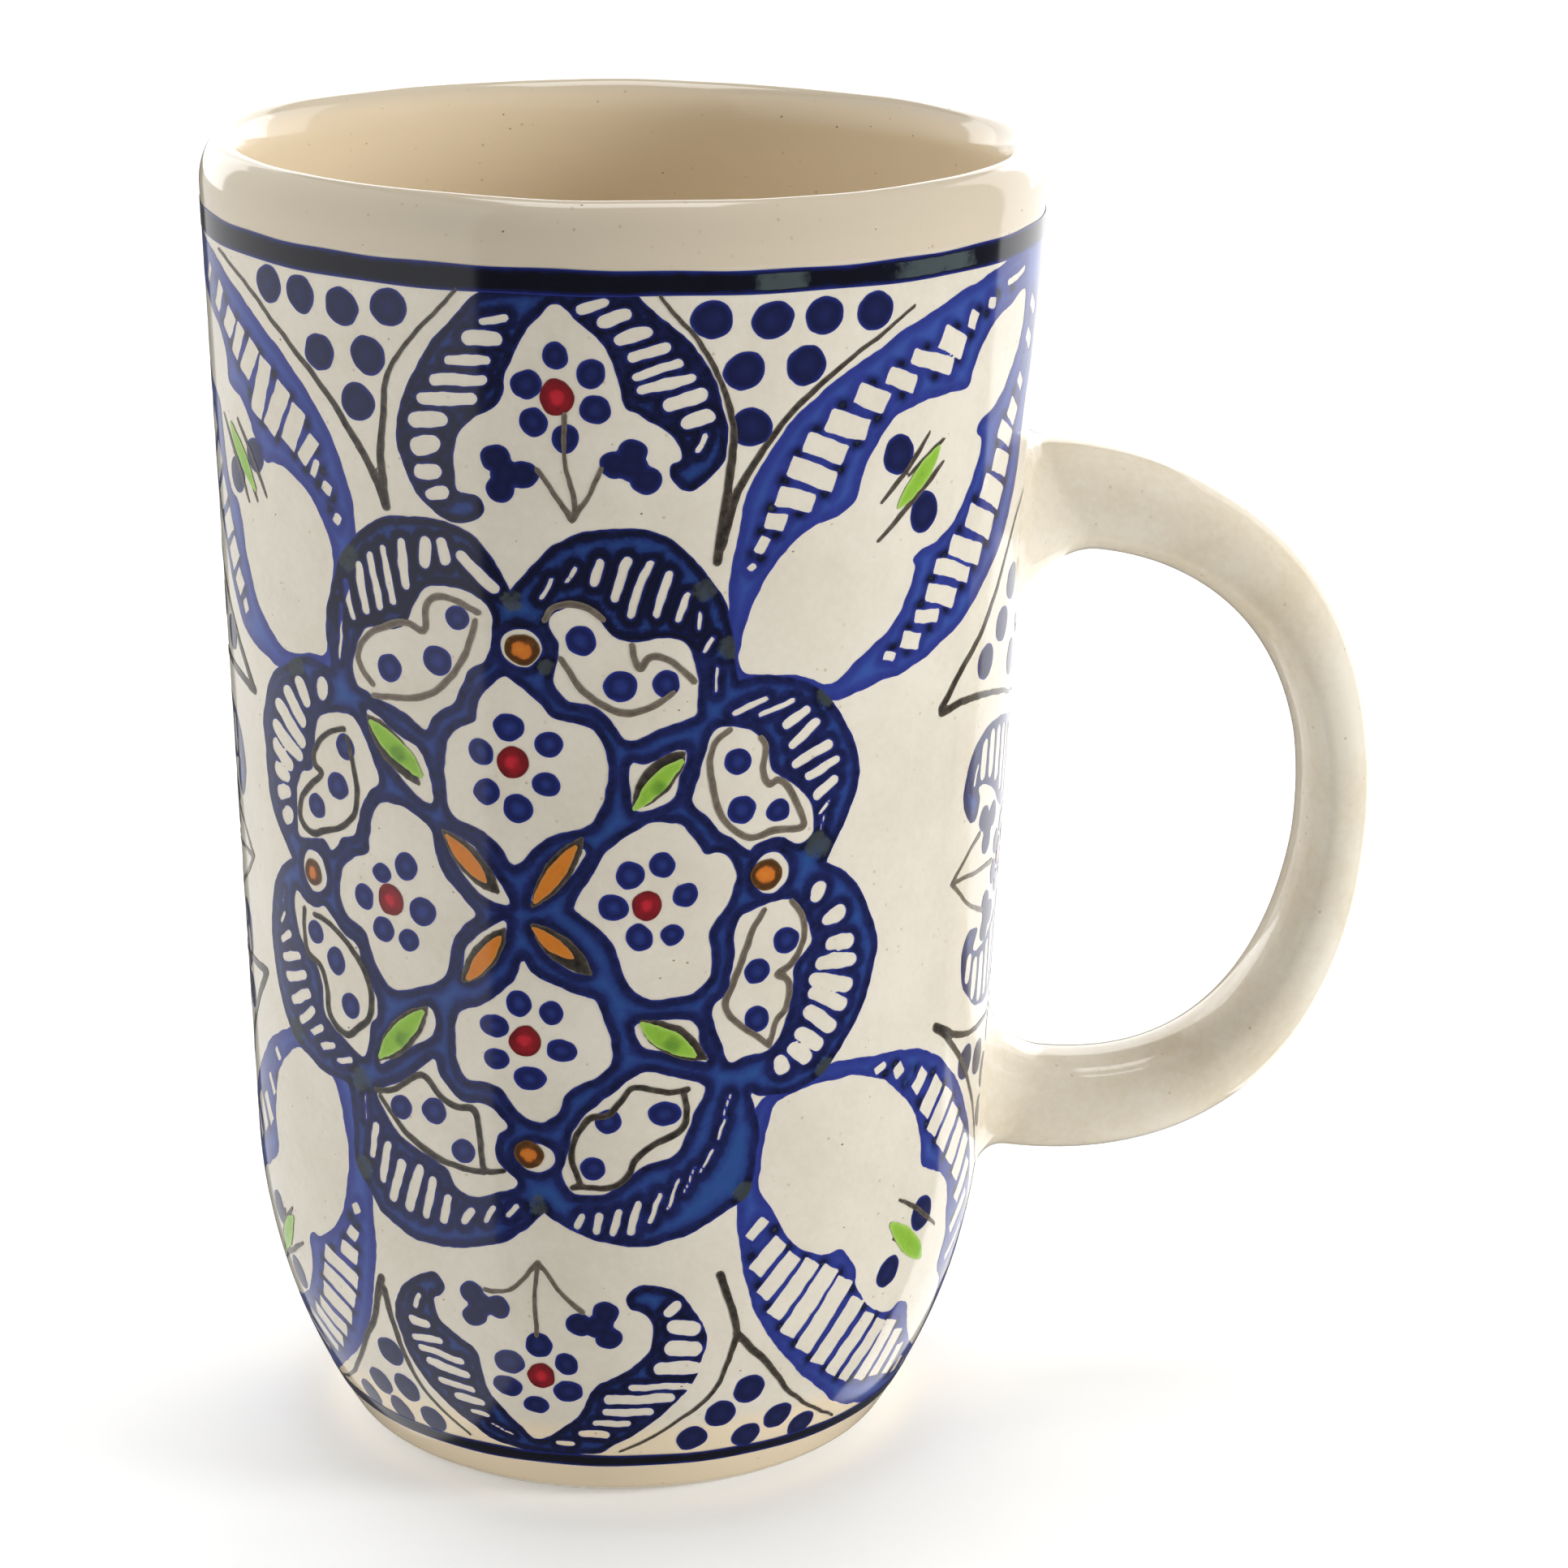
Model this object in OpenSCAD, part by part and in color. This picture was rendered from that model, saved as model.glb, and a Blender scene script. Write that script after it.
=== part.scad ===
// Tall hand-thrown stoneware mug with a pulled handle, painted cobalt bands and a clear glaze.
// Millimetres. The origin is on the cup's axis in the plane of the foot, +Z is up and the
// handle stands out along +X.

/* [Cup] */
// Height from the foot to the top of the lip
cup_h = 143; // [115:1:175]
// Outside radius where the lip starts to round over
rim_r = 44.5; // [37:0.5:54]
// How far the flank leans out for each millimetre of height
flank_lean = 0.0382; // [0.015:0.0001:0.06]
// Height at which the straight flank runs into the belly curve
belly_z = 33.5; // [27:0.5:41]
// Radius of the belly curve
belly_r = 65; // [54:1:80]
// Radius of the rounded edge round the foot
foot_edge_r = 4; // [3:0.25:6]
// Thickness of the glazed wall
wall_t = 4.8; // [3.5:0.1:6.5]
// Height of the rounded part of the lip
lip_h = 4.5; // [3.5:0.25:6]
// Thickness of the glazed floor over the foot recess
floor_t = 5.6; // [4.5:0.1:7]
// Radius of the inside corner between wall and floor
floor_corner_r = 12; // [8:0.5:15]

/* [Foot] */
// Width of the ring that the mug stands on
foot_ring_w = 4.5; // [3:0.25:7]
// Depth of the turned recess inside the foot ring
foot_recess = 1.6; // [0.8:0.1:3]
// Width of the bare clay chamfer at the inside of the foot ring
foot_chamfer = 0.8; // [0.4:0.1:1.5]

/* [Glaze] */
// Thickness of the fired glaze coat
glaze_t = 0.3; // [0.2:0.05:0.6]
// Height of the bare clay left above the table, so that glaze never touches the kiln shelf
dry_foot_h = 1.2; // [0.8:0.1:2.5]

/* [Painted bands] */
// Drop from the top of the lip to the upper edge of the band under it
rim_band_drop = 6.4; // [6.2:0.1:20]
// Height of the band under the rim
rim_band_h = 2.8; // [1.5:0.1:6]
// Height of the lower edge of the band over the foot
foot_band_low = 5.2; // [4.2:0.1:10]
// Height of the band over the foot
foot_band_h = 1.8; // [1:0.1:4]
// Thickness of the fired pigment
pigment_t = 0.12; // [0.05:0.01:0.15]

/* [Handle] */
// Drop from the top of the lip to where the handle's centre line leaves the cup
handle_top_drop = 39.3; // [26:0.1:50]
// Rise of the centre line for each millimetre outwards at the upper root
handle_top_rise = 0.15; // [-0.2:0.01:0.3]
// Height at which the centre line comes back to the cup
handle_low_z = 35.3; // [30:0.1:46]
// Fall of the centre line for each millimetre outwards at the lower root
handle_low_fall = 0.28; // [0:0.01:0.5]
// How far the handle's centre line stands out from the cup's axis
handle_reach = 79.9; // [66:0.1:96]
// Height of the handle's outermost point
handle_out_z = 68.5; // [58:0.5:78]
// Thickness of the handle at its upper root
handle_top_t = 12.6; // [7:0.1:14]
// Thickness of the handle at its outermost point
handle_mid_t = 7.8; // [6:0.1:10]
// Thickness of the handle at its lower root
handle_low_t = 11.4; // [8:0.1:13]
// Width of the handle at its upper root
handle_top_w = 14.5; // [11:0.1:18]
// Width of the handle at its outermost point
handle_mid_w = 12.6; // [10:0.1:16]
// Width of the handle at its lower root
handle_low_w = 13.4; // [10:0.1:17]
// How far the pull of the curve reaches from the upper root
pull_top = 17; // [10:1:24]
// How far the pull reaches upwards from the outermost point
pull_up = 28; // [20:1:36]
// How far the pull reaches downwards from the outermost point
pull_down = 18; // [10:1:24]
// How far the pull reaches from the lower root
pull_low = 32; // [22:1:38]

/* [Slip joints] */
// Radius of the slip fillet round the upper root
upper_slip_r = 2.6; // [1.5:0.1:4]
// Radius of the slip fillet round the lower root
lower_slip_r = 3; // [1.5:0.1:4]
// Thickness of slip left proud where a fillet ends on the handle
slip_feather = 0.25; // [0.2:0.05:0.4]

/* [Hidden] */

$fn = 240;
ARC_STEPS = 16;       // straight steps in each profile arc
PATH_STEPS = 22;      // rings along each half of the handle
RING_SIDES = 28;      // points round the handle's section
SLIP_STEPS = 6;       // rings in a slip fillet, shared by the handle and the slip
SECTION_POWER = 2.3;  // 2 is an ellipse; more is a squarer strap
ROOT_SINK = 2;        // how far the handle's sweep starts inside the cup's surface

// ---- the cup's profile ----
flank_top = cup_h - lip_h;
rim_band_top = cup_h - rim_band_drop;
handle_top_z = cup_h - handle_top_drop;
flank_angle = atan(flank_lean);
belly_knee_r = rim_r - (flank_top - belly_z) * flank_lean;
belly_centre = [belly_knee_r - belly_r * cos(flank_angle), belly_z + belly_r * sin(flank_angle)];
// The foot edge touches the table and is tangent to the belly curve inside it.
foot_edge_drop = (belly_centre.y - foot_edge_r) / (belly_r - foot_edge_r);
foot_edge_angle = asin(foot_edge_drop);
foot_edge_centre = [belly_centre.x + (belly_r - foot_edge_r) * cos(foot_edge_angle), foot_edge_r];
// Angle on the foot edge at which the bare clay ends
dry_foot_angle = asin((foot_edge_r - dry_foot_h) / foot_edge_r);

function on_arc(centre, r, angle) = centre + r * [cos(angle), sin(angle)];
function arc(centre, r, from, to, steps = ARC_STEPS) =
    [for (i = [0 : steps]) on_arc(centre, r, from + (to - from) * i / steps)];

// Outside surface from the end of the bare foot up to the top of the lip, set back by inset
function outer_line(inset) = concat(
    arc(foot_edge_centre, foot_edge_r - inset, -dry_foot_angle, -foot_edge_angle, 6),
    arc(belly_centre, belly_r - inset, -foot_edge_angle, -flank_angle),
    outer_lip(inset));

lip_centre = [rim_r - wall_t / 2, flank_top];
function lip_point(inset, angle) =
    lip_centre + [(wall_t / 2 - inset) * cos(angle), (lip_h - inset) * sin(angle)];
function outer_lip(inset) = [for (i = [0 : ARC_STEPS]) lip_point(inset, 90 * i / ARC_STEPS)];
function inner_lip(inset) = [for (i = [0 : ARC_STEPS]) lip_point(inset, 90 + 90 * i / ARC_STEPS)];

// Inside surface from the top of the lip down to the middle of the floor
inside_floor_z = foot_recess + floor_t;
inside_belly_r = belly_r - wall_t;
corner_centre_z = inside_floor_z + floor_corner_r;
corner_angle = asin((belly_centre.y - corner_centre_z) / (inside_belly_r - floor_corner_r));
corner_centre = [belly_centre.x + (inside_belly_r - floor_corner_r) * cos(corner_angle),
                 corner_centre_z];
function inner_line(inset) = concat(
    inner_lip(inset),
    arc(belly_centre, inside_belly_r + inset, -flank_angle, -corner_angle),
    arc(corner_centre, floor_corner_r + inset, -corner_angle, -90, 10),
    [[0, inside_floor_z - inset]]);

// Underside: the ring that stands on the table, its inner chamfer and the turned recess
foot_ring_out = foot_edge_centre.x;
foot_ring_in = foot_ring_out - foot_ring_w;
underside_line = [
    [0, foot_recess],
    [foot_ring_in - foot_chamfer, foot_recess],
    [foot_ring_in, 0],
    [foot_ring_out, 0]];
bare_foot_edge = arc(foot_edge_centre, foot_edge_r, -90, -dry_foot_angle, 6);

// The cup's glazed radius at a height on its flank or belly
function cup_r(z) = z >= belly_z
    ? rim_r - (flank_top - z) * flank_lean
    : belly_centre.x + sqrt(pow(belly_r, 2) - pow(belly_centre.y - z, 2));

function reversed(list) = [for (i = [len(list) - 1 : -1 : 0]) list[i]];

// ---- the handle's centre line: two cubic curves that meet at the outermost point ----
upper_root = [cup_r(handle_top_z) - ROOT_SINK, handle_top_z];
lower_root = [cup_r(handle_low_z) - ROOT_SINK, handle_low_z];
outermost = [handle_reach, handle_out_z];
upper_curve = [upper_root, upper_root + pull_top * [1, handle_top_rise],
               outermost + [0, pull_up], outermost];
lower_curve = [outermost, outermost - [0, pull_down],
               lower_root + pull_low * [1, -handle_low_fall], lower_root];

function bezier(c, t) =
    pow(1 - t, 3) * c[0] + 3 * pow(1 - t, 2) * t * c[1] + 3 * (1 - t) * t * t * c[2] + t * t * t * c[3];
function bezier_slope(c, t) =
    pow(1 - t, 2) * (c[1] - c[0]) + 2 * (1 - t) * t * (c[2] - c[1]) + t * t * (c[3] - c[2]);
function unit(v) = v / norm(v);

// A station is [place, direction, half thickness, half width]
function eased(a, b, t) = a + (b - a) * min(1, t / 0.9);
function upper_station(t) = [
    bezier(upper_curve, t), unit(bezier_slope(upper_curve, t)),
    eased(handle_top_t, handle_mid_t, t) / 2, eased(handle_top_w, handle_mid_w, t) / 2];
function lower_station(t) = [
    bezier(lower_curve, t), unit(bezier_slope(lower_curve, t)),
    eased(handle_low_t, handle_mid_t, 1 - t) / 2, eased(handle_low_w, handle_mid_w, 1 - t) / 2];

// Shares of each curve over which its slip fillet runs, counted from the root
upper_slip_share = (ROOT_SINK + upper_slip_r) / (3 * pull_top);
lower_slip_share = (ROOT_SINK + lower_slip_r) / (3 * pull_low);
upper_slip_stations = [for (i = [0 : SLIP_STEPS]) upper_station(upper_slip_share * i / SLIP_STEPS)];
lower_slip_stations = [for (i = [0 : SLIP_STEPS])
    lower_station(1 - lower_slip_share * (SLIP_STEPS - i) / SLIP_STEPS)];
handle_stations = concat(
    upper_slip_stations,
    [for (i = [1 : PATH_STEPS])
        upper_station(upper_slip_share + (1 - upper_slip_share) * i / PATH_STEPS)],
    [for (i = [1 : PATH_STEPS - 1]) lower_station((1 - lower_slip_share) * i / PATH_STEPS)],
    lower_slip_stations);

function power(v, p) = sign(v) * pow(abs(v), p);
// One ring of the strap, grown outwards by extra
function ring(station, extra) = [
    for (i = [0 : RING_SIDES - 1])
        let (a = 360 * i / RING_SIDES,
             across = (station[3] + extra) * power(cos(a), 2 / SECTION_POWER),
             over = (station[2] + extra) * power(sin(a), 2 / SECTION_POWER),
             place = station[0] + over * [-station[1].y, station[1].x])
        [place.x, across, place.y]];

// Quads between successive rings of a list; each list wraps round when looped is true
function skin_faces(count, sides) = [
    for (k = [0 : count - 2]) for (i = [0 : sides - 1])
        let (j = (i + 1) % sides)
        [k * sides + i, (k + 1) * sides + i, (k + 1) * sides + j, k * sides + j]];

// Solid through a list of rings, capped at both ends
module capped_skin(rings) {
    sides = len(rings[0]);
    first_cap = [for (i = [0 : sides - 1]) i];
    last_cap = [for (i = [sides - 1 : -1 : 0]) (len(rings) - 1) * sides + i];
    polyhedron(points = [for (r = rings) each r],
               faces = concat([first_cap], skin_faces(len(rings), sides), [last_cap]),
               convexity = 6);
}

// Sleeve whose rings run out along the outside and back along the inside
module sleeve_skin(outside, inside) {
    rings = concat(outside, reversed(inside), [outside[0]]);
    sides = len(rings[0]);
    count = len(rings) - 1;
    closing = [for (i = [0 : sides - 1])
        let (j = (i + 1) % sides)
        [(count - 1) * sides + i, i, j, (count - 1) * sides + j]];
    polyhedron(points = [for (k = [0 : count - 1]) each rings[k]],
               faces = concat(skin_faces(count, sides), closing),
               convexity = 6);
}

// Everything inside the cup's glazed surface, for cutting what stands on it
module cup_envelope() {
    rotate_extrude()
        polygon(concat([[0, 0], [foot_ring_out, 0]], bare_foot_edge, outer_line(0), [[0, cup_h]]));
}

module strap() {
    capped_skin([for (s = handle_stations) ring(s, 0)]);
}

// A fillet of slip round a root. Its growth follows a quarter circle from the cup's wall to a
// thin feather on the handle, and its inside is the handle's own surface.
function fillet_growth(out, r) =
    out >= r ? slip_feather : slip_feather + r - sqrt(pow(r, 2) - pow(r - max(out, 0), 2));
module slip_collar(stations, r) {
    difference() {
        sleeve_skin([for (s = stations) ring(s, fillet_growth(s[0].x - cup_r(s[0].y), r))],
                    [for (s = stations) ring(s, 0)]);
        cup_envelope();
    }
}

module cup_body() {
    color("#d9cdb8")
        rotate_extrude()
            polygon(concat(underside_line, bare_foot_edge, outer_line(glaze_t),
                           inner_line(glaze_t)));
}

module handle() {
    color("#ddd2bf")
        difference() {
            strap();
            cup_envelope();
        }
}

module upper_slip_joint() {
    color("#d6c9b2") slip_collar(upper_slip_stations, upper_slip_r);
}

module lower_slip_joint() {
    color("#d6c9b2") slip_collar(lower_slip_stations, lower_slip_r);
}

// A painted ring that lies on the clay under the glaze, between two heights
module painted_band(low, high) {
    steps = low < belly_z ? 8 : 1;
    heights = [for (i = [0 : steps]) low + (high - low) * i / steps];
    rotate_extrude()
        polygon(concat([for (z = heights) [cup_r(z) - glaze_t, z]],
                       reversed([for (z = heights) [cup_r(z) - glaze_t + pigment_t, z]])));
}

module rim_band() {
    color("#16205c") painted_band(rim_band_top - rim_band_h, rim_band_top);
}

module foot_band() {
    color("#16205c") painted_band(foot_band_low, foot_band_low + foot_band_h);
}

module outer_glaze() {
    color("#efe8d8", 0.4)
        difference() {
            rotate_extrude()
                polygon(concat(outer_line(0), reversed(outer_line(glaze_t))));
            rim_band();
            foot_band();
        }
}

module inner_glaze() {
    color("#dcc6a2")
        rotate_extrude()
            polygon(concat(inner_line(0), reversed(inner_line(glaze_t))));
}

cup_body();
handle();
upper_slip_joint();
lower_slip_joint();
rim_band();
foot_band();
outer_glaze();
inner_glaze();
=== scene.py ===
"""Tall stoneware mug, thrown and pulled by hand, painted with cobalt and dipped in a clear glaze.

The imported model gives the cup's place, height and width. Every size below is in millimetres until a
shape becomes a mesh, which is in metres. The painting is laid out flat, as if it were peeled off the
cup: x runs round the cup at the reference radius, s runs up its side from the table.
"""

import logging
import math
from collections.abc import Sequence
from dataclasses import dataclass, field
from enum import Enum

import bpy
import numpy as np
from mathutils import Matrix, Vector


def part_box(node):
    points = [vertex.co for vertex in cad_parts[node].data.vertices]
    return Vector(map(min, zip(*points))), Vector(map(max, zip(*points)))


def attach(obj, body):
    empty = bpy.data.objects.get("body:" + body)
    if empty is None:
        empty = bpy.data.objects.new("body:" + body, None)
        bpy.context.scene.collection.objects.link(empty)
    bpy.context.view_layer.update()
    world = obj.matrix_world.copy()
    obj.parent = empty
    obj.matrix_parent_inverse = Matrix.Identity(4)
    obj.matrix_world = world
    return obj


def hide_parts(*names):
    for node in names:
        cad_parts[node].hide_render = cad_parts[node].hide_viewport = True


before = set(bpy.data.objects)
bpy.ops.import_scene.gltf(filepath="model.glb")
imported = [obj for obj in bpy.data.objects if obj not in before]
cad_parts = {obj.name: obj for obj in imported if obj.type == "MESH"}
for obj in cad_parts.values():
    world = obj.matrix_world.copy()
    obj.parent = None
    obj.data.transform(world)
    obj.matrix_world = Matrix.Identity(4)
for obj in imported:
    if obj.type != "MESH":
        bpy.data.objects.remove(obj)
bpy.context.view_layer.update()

log = logging.getLogger("mug")
MM = 0.001
ROOT = "root"
GLAZE_IOR = 1.5
Point = tuple[float, float]
Path = Sequence[Point]
Socket = bpy.types.NodeSocket


# ---------------------------------------------------------------- small tools

def linear(shade: str) -> tuple[float, float, float, float]:
    """Turns an sRGB hex value into a linear colour.

    Args:
        shade: Six hex digits, such as "ece6d8".

    Returns:
        The linear red, green and blue, and an alpha of 1.
    """
    parts = [int(shade[i:i + 2], 16) / 255 for i in (0, 2, 4)]
    red, green, blue = (c / 12.92 if c <= 0.04045 else ((c + 0.055) / 1.055) ** 2.4 for c in parts)
    return red, green, blue, 1.0


def pattern(size: float) -> float:
    """Gives the texture scale at which a pattern's features are so many millimetres apart."""
    return 1 / (size * MM)


def add_node(tree: bpy.types.NodeTree, kind: str, options: dict | None = None,
             inputs: dict | None = None) -> bpy.types.Node:
    """Adds a node, sets its options and fills its inputs.

    Args:
        tree: The tree that takes the node.
        kind: The node's type name.
        options: Properties of the node and their values.
        inputs: Input names or numbers, each with a value or with the socket to link to it.

    Returns:
        The new node.
    """
    node = tree.nodes.new(kind)
    for name, value in (options or {}).items():
        setattr(node, name, value)
    for key, value in (inputs or {}).items():
        if isinstance(value, bpy.types.NodeSocket):
            tree.links.new(value, node.inputs[key])
        else:
            node.inputs[key].default_value = value
    return node


def new_finish(name: str) -> tuple[bpy.types.Material, bpy.types.NodeTree, bpy.types.Node, Socket]:
    """Starts a material.

    Args:
        name: The material's name.

    Returns:
        The material, its tree, its shader, and the socket of a point's place on its object.
    """
    made = bpy.data.materials.new(name)
    made.use_nodes = True
    tree = made.node_tree
    spot = add_node(tree, "ShaderNodeTexCoord").outputs["Object"]
    return made, tree, tree.nodes["Principled BSDF"], spot


def colour_steps(tree: bpy.types.NodeTree, value: Socket, steps: Sequence[tuple[float, str]]) -> Socket:
    """Turns a value into colour by steps.

    Args:
        tree: The material's tree.
        value: The value, from 0 to 1.
        steps: Each step's place and its sRGB hex value.

    Returns:
        The colour.
    """
    node = add_node(tree, "ShaderNodeValToRGB", None, {0: value})
    stops = node.color_ramp.elements
    while len(stops) < len(steps):
        stops.new(0.5)
    for stop, (place, shade) in zip(stops, steps):
        stop.position = place
        stop.color = linear(shade)
    return node.outputs[0]


def noise(tree: bpy.types.NodeTree, spot: Socket, gap: float, detail: float,
          roughness: float = 0.5) -> Socket:
    """Adds cloudy noise, its clouds so many millimetres apart, and returns its value."""
    return add_node(tree, "ShaderNodeTexNoise", None, {
        "Vector": spot, "Scale": pattern(gap), "Detail": detail, "Roughness": roughness}).outputs[0]


def blend(tree: bpy.types.NodeTree, share: Socket, first: Socket, second: Socket | str) -> Socket:
    """Mixes a second colour into the first.

    Args:
        tree: The material's tree.
        share: How much of the second colour there is, from 0 to 1.
        first: The colour beneath.
        second: The colour that is mixed in, a socket or a hex value.

    Returns:
        The mixed colour.
    """
    other = linear(second) if isinstance(second, str) else second
    return add_node(tree, "ShaderNodeMix", {"data_type": "RGBA"}, {
        "Factor": share, 6: first, 7: other}).outputs[2]


def ease(tree: bpy.types.NodeTree, value: Socket, low: Socket | float, high: Socket | float,
         ends: Point = (0.0, 1.0), smooth: bool = True) -> Socket:
    """Runs from one end value to the other as a value goes from low to high.

    Args:
        tree: The tree.
        value: The value that is followed.
        low: Where the run starts.
        high: Where it ends.
        ends: Its results at low and at high.
        smooth: Whether it starts and stops gently.

    Returns:
        The result.
    """
    kind = {"interpolation_type": "SMOOTHSTEP" if smooth else "LINEAR"}
    return add_node(tree, "ShaderNodeMapRange", kind, {
        "Value": value, "From Min": low, "From Max": high, "To Min": ends[0], "To Max": ends[1]}).outputs[0]


def stand(name: str, data: bpy.types.ID) -> bpy.types.Object:
    """Puts data into the scene as an object.

    Args:
        name: The object's name.
        data: Its mesh, curve, light or camera.

    Returns:
        The object, at the origin.
    """
    piece = bpy.data.objects.new(name, data)
    bpy.context.scene.collection.objects.link(piece)
    return piece


def mesh_piece(name: str, points: np.ndarray, faces: Sequence) -> bpy.types.Object:
    """Makes an object from points in millimetres.

    Args:
        name: The piece's name.
        points: One row of x, y and z for each vertex.
        faces: Vertex numbers of each face.

    Returns:
        The object, at the origin, with its place in its mesh.
    """
    mesh = bpy.data.meshes.new(name)
    mesh.from_pydata((points * MM).tolist(), [], faces.tolist() if isinstance(faces, np.ndarray) else faces)
    mesh.validate()
    mesh.shade_smooth()
    return stand(name, mesh)


def mark_hard_edges(piece: bpy.types.Object, degrees: float) -> None:
    """Keeps the edges crisp whose faces turn by more than so many degrees."""
    piece.data.set_sharp_from_angle(angle=math.radians(degrees))


def apply_tree(piece: bpy.types.Object, tree: bpy.types.NodeTree, values: dict) -> bpy.types.Object:
    """Runs a geometry tree on a piece once and keeps the result as its plain mesh.

    Args:
        piece: The piece that the tree reshapes.
        tree: The geometry tree.
        values: The tree's input names and their values.

    Returns:
        The same piece, with no modifier left on it.
    """
    modifier = piece.modifiers.new(tree.name, "NODES")
    modifier.node_group = tree
    sockets = {item.name: item.identifier for item in tree.interface.items_tree if item.in_out == "INPUT"}
    for name, value in values.items():
        modifier[sockets[name]] = value
    view_layer = bpy.context.evaluated_depsgraph_get()
    shown = piece.evaluated_get(view_layer)
    mesh = bpy.data.meshes.new_from_object(shown, preserve_all_data_layers=True, depsgraph=view_layer)
    piece.modifiers.remove(modifier)
    old = piece.data
    piece.data = mesh
    bpy.data.meshes.remove(old)
    mesh.name = piece.name
    return piece


def settle(piece: bpy.types.Object, slot: str, *nodes: str) -> None:
    """Fixes a finished piece to the mug and reports it.

    Args:
        piece: The finished piece.
        slot: Not used.
        nodes: The CAD nodes that it stands for.
    """
    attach(piece, ROOT)
    if nodes:
        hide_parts(*nodes)
    piece.data.calc_loop_triangles()
    log.info("%-24s %7d triangles", piece.name, len(piece.data.loop_triangles))


# ---------------------------------------------------------------- the cup's outline

@dataclass(frozen=True)
class CupOutline:
    """The cup's section: a rounded lip, a leaning flank, a round belly and a tight foot edge."""

    height: float
    rim_r: float = 44.5
    flank_lean: float = 0.0382
    belly_z: float = 33.5
    belly_r: float = 65.0
    foot_edge_r: float = 4.0
    wall: float = 4.8
    lip_h: float = 4.5
    floor: float = 5.6
    floor_corner_r: float = 12.0
    foot_ring_w: float = 4.5
    foot_recess: float = 1.6
    foot_chamfer: float = 0.8
    glaze: float = 0.3
    dry_foot_h: float = 1.2
    lip_steps: int = 20

    @property
    def flank_top(self) -> float:
        """Height at which the lip starts to round over."""
        return self.height - self.lip_h

    @property
    def flank_angle(self) -> float:
        """How far the flank leans out, in radians."""
        return math.atan(self.flank_lean)

    @property
    def belly_centre(self) -> np.ndarray:
        """Centre of the belly's arc, as radius and height."""
        knee_r = self.rim_r - (self.flank_top - self.belly_z) * self.flank_lean
        return np.array([knee_r - self.belly_r * math.cos(self.flank_angle),
                         self.belly_z + self.belly_r * math.sin(self.flank_angle)])

    @property
    def foot_edge_angle(self) -> float:
        """Angle below level at which the belly's arc meets the foot's."""
        return math.asin((self.belly_centre[1] - self.foot_edge_r) / (self.belly_r - self.foot_edge_r))

    @property
    def foot_edge_centre(self) -> np.ndarray:
        """Centre of the small arc round the foot."""
        reach = (self.belly_r - self.foot_edge_r) * math.cos(self.foot_edge_angle)
        return np.array([self.belly_centre[0] + reach, self.foot_edge_r])

    @staticmethod
    def arc(centre: np.ndarray, r: float, start: float, end: float, steps: int) -> np.ndarray:
        """Points along an arc, both ends included."""
        turn = np.linspace(start, end, steps + 1)
        return np.column_stack([centre[0] + r * np.cos(turn), centre[1] + r * np.sin(turn)])

    def lip(self, inset: float, start: float, end: float) -> np.ndarray:
        """Points along the lip's half ellipse between two angles."""
        turn = np.linspace(start, end, self.lip_steps + 1)
        return np.column_stack([
            self.rim_r - self.wall / 2 + (self.wall / 2 - inset) * np.cos(turn),
            self.flank_top + (self.lip_h - inset) * np.sin(turn)])

    def outside(self, inset: float = 0.0, start: float = -math.pi / 2, fine: int = 3) -> np.ndarray:
        """Outline from the foot up to the crest of the lip.

        Args:
            inset: How far the line is set back into the wall.
            start: Angle on the foot's arc at which the line starts.
            fine: How closely the points follow each other; 1 is coarse.

        Returns:
            One row of radius and height for each point.
        """
        foot = self.arc(self.foot_edge_centre, self.foot_edge_r - inset, start,
                        -self.foot_edge_angle, 4 * fine)
        belly = self.arc(self.belly_centre, self.belly_r - inset, -self.foot_edge_angle,
                         -self.flank_angle, 8 * fine)
        lip = self.lip(inset, 0, math.pi / 2)
        share = np.linspace(0, 1, 14 * fine + 1)[1:-1, None]
        flank = belly[-1] * (1 - share) + lip[0] * share
        return np.vstack([foot, belly[1:], flank, lip])

    def inside(self, inset: float = 0.0, fine: int = 3) -> np.ndarray:
        """Outline from the crest of the lip down the inner wall to the middle of the floor.

        Args:
            inset: How far the line is set back into the wall.
            fine: How closely the points follow each other; 1 is coarse.

        Returns:
            One row of radius and height for each point.
        """
        floor_z = self.foot_recess + self.floor
        inner_r = self.belly_r - self.wall
        corner_z = floor_z + self.floor_corner_r
        turn = math.asin((self.belly_centre[1] - corner_z) / (inner_r - self.floor_corner_r))
        corner = np.array([self.belly_centre[0] + (inner_r - self.floor_corner_r) * math.cos(turn), corner_z])
        lip = self.lip(inset, math.pi / 2, math.pi)
        belly = self.arc(self.belly_centre, inner_r + inset, -self.flank_angle, -turn, 4 * fine)
        share = np.linspace(0, 1, 12 * fine + 1)[1:-1, None]
        flank = lip[-1] * (1 - share) + belly[0] * share
        bend = self.arc(corner, self.floor_corner_r + inset, -turn, -math.pi / 2, 6 * fine)
        share = np.linspace(0, 1, 4 * fine + 1)[1:, None]
        bottom = bend[-1] * (1 - share) + np.array([0.0, floor_z - inset]) * share
        return np.vstack([lip, flank, belly, bend[1:], bottom])

    @property
    def dry_angle(self) -> float:
        """Angle on the foot's arc at which the glaze has been wiped off."""
        return -math.asin((self.foot_edge_r - self.dry_foot_h) / self.foot_edge_r)

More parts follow.
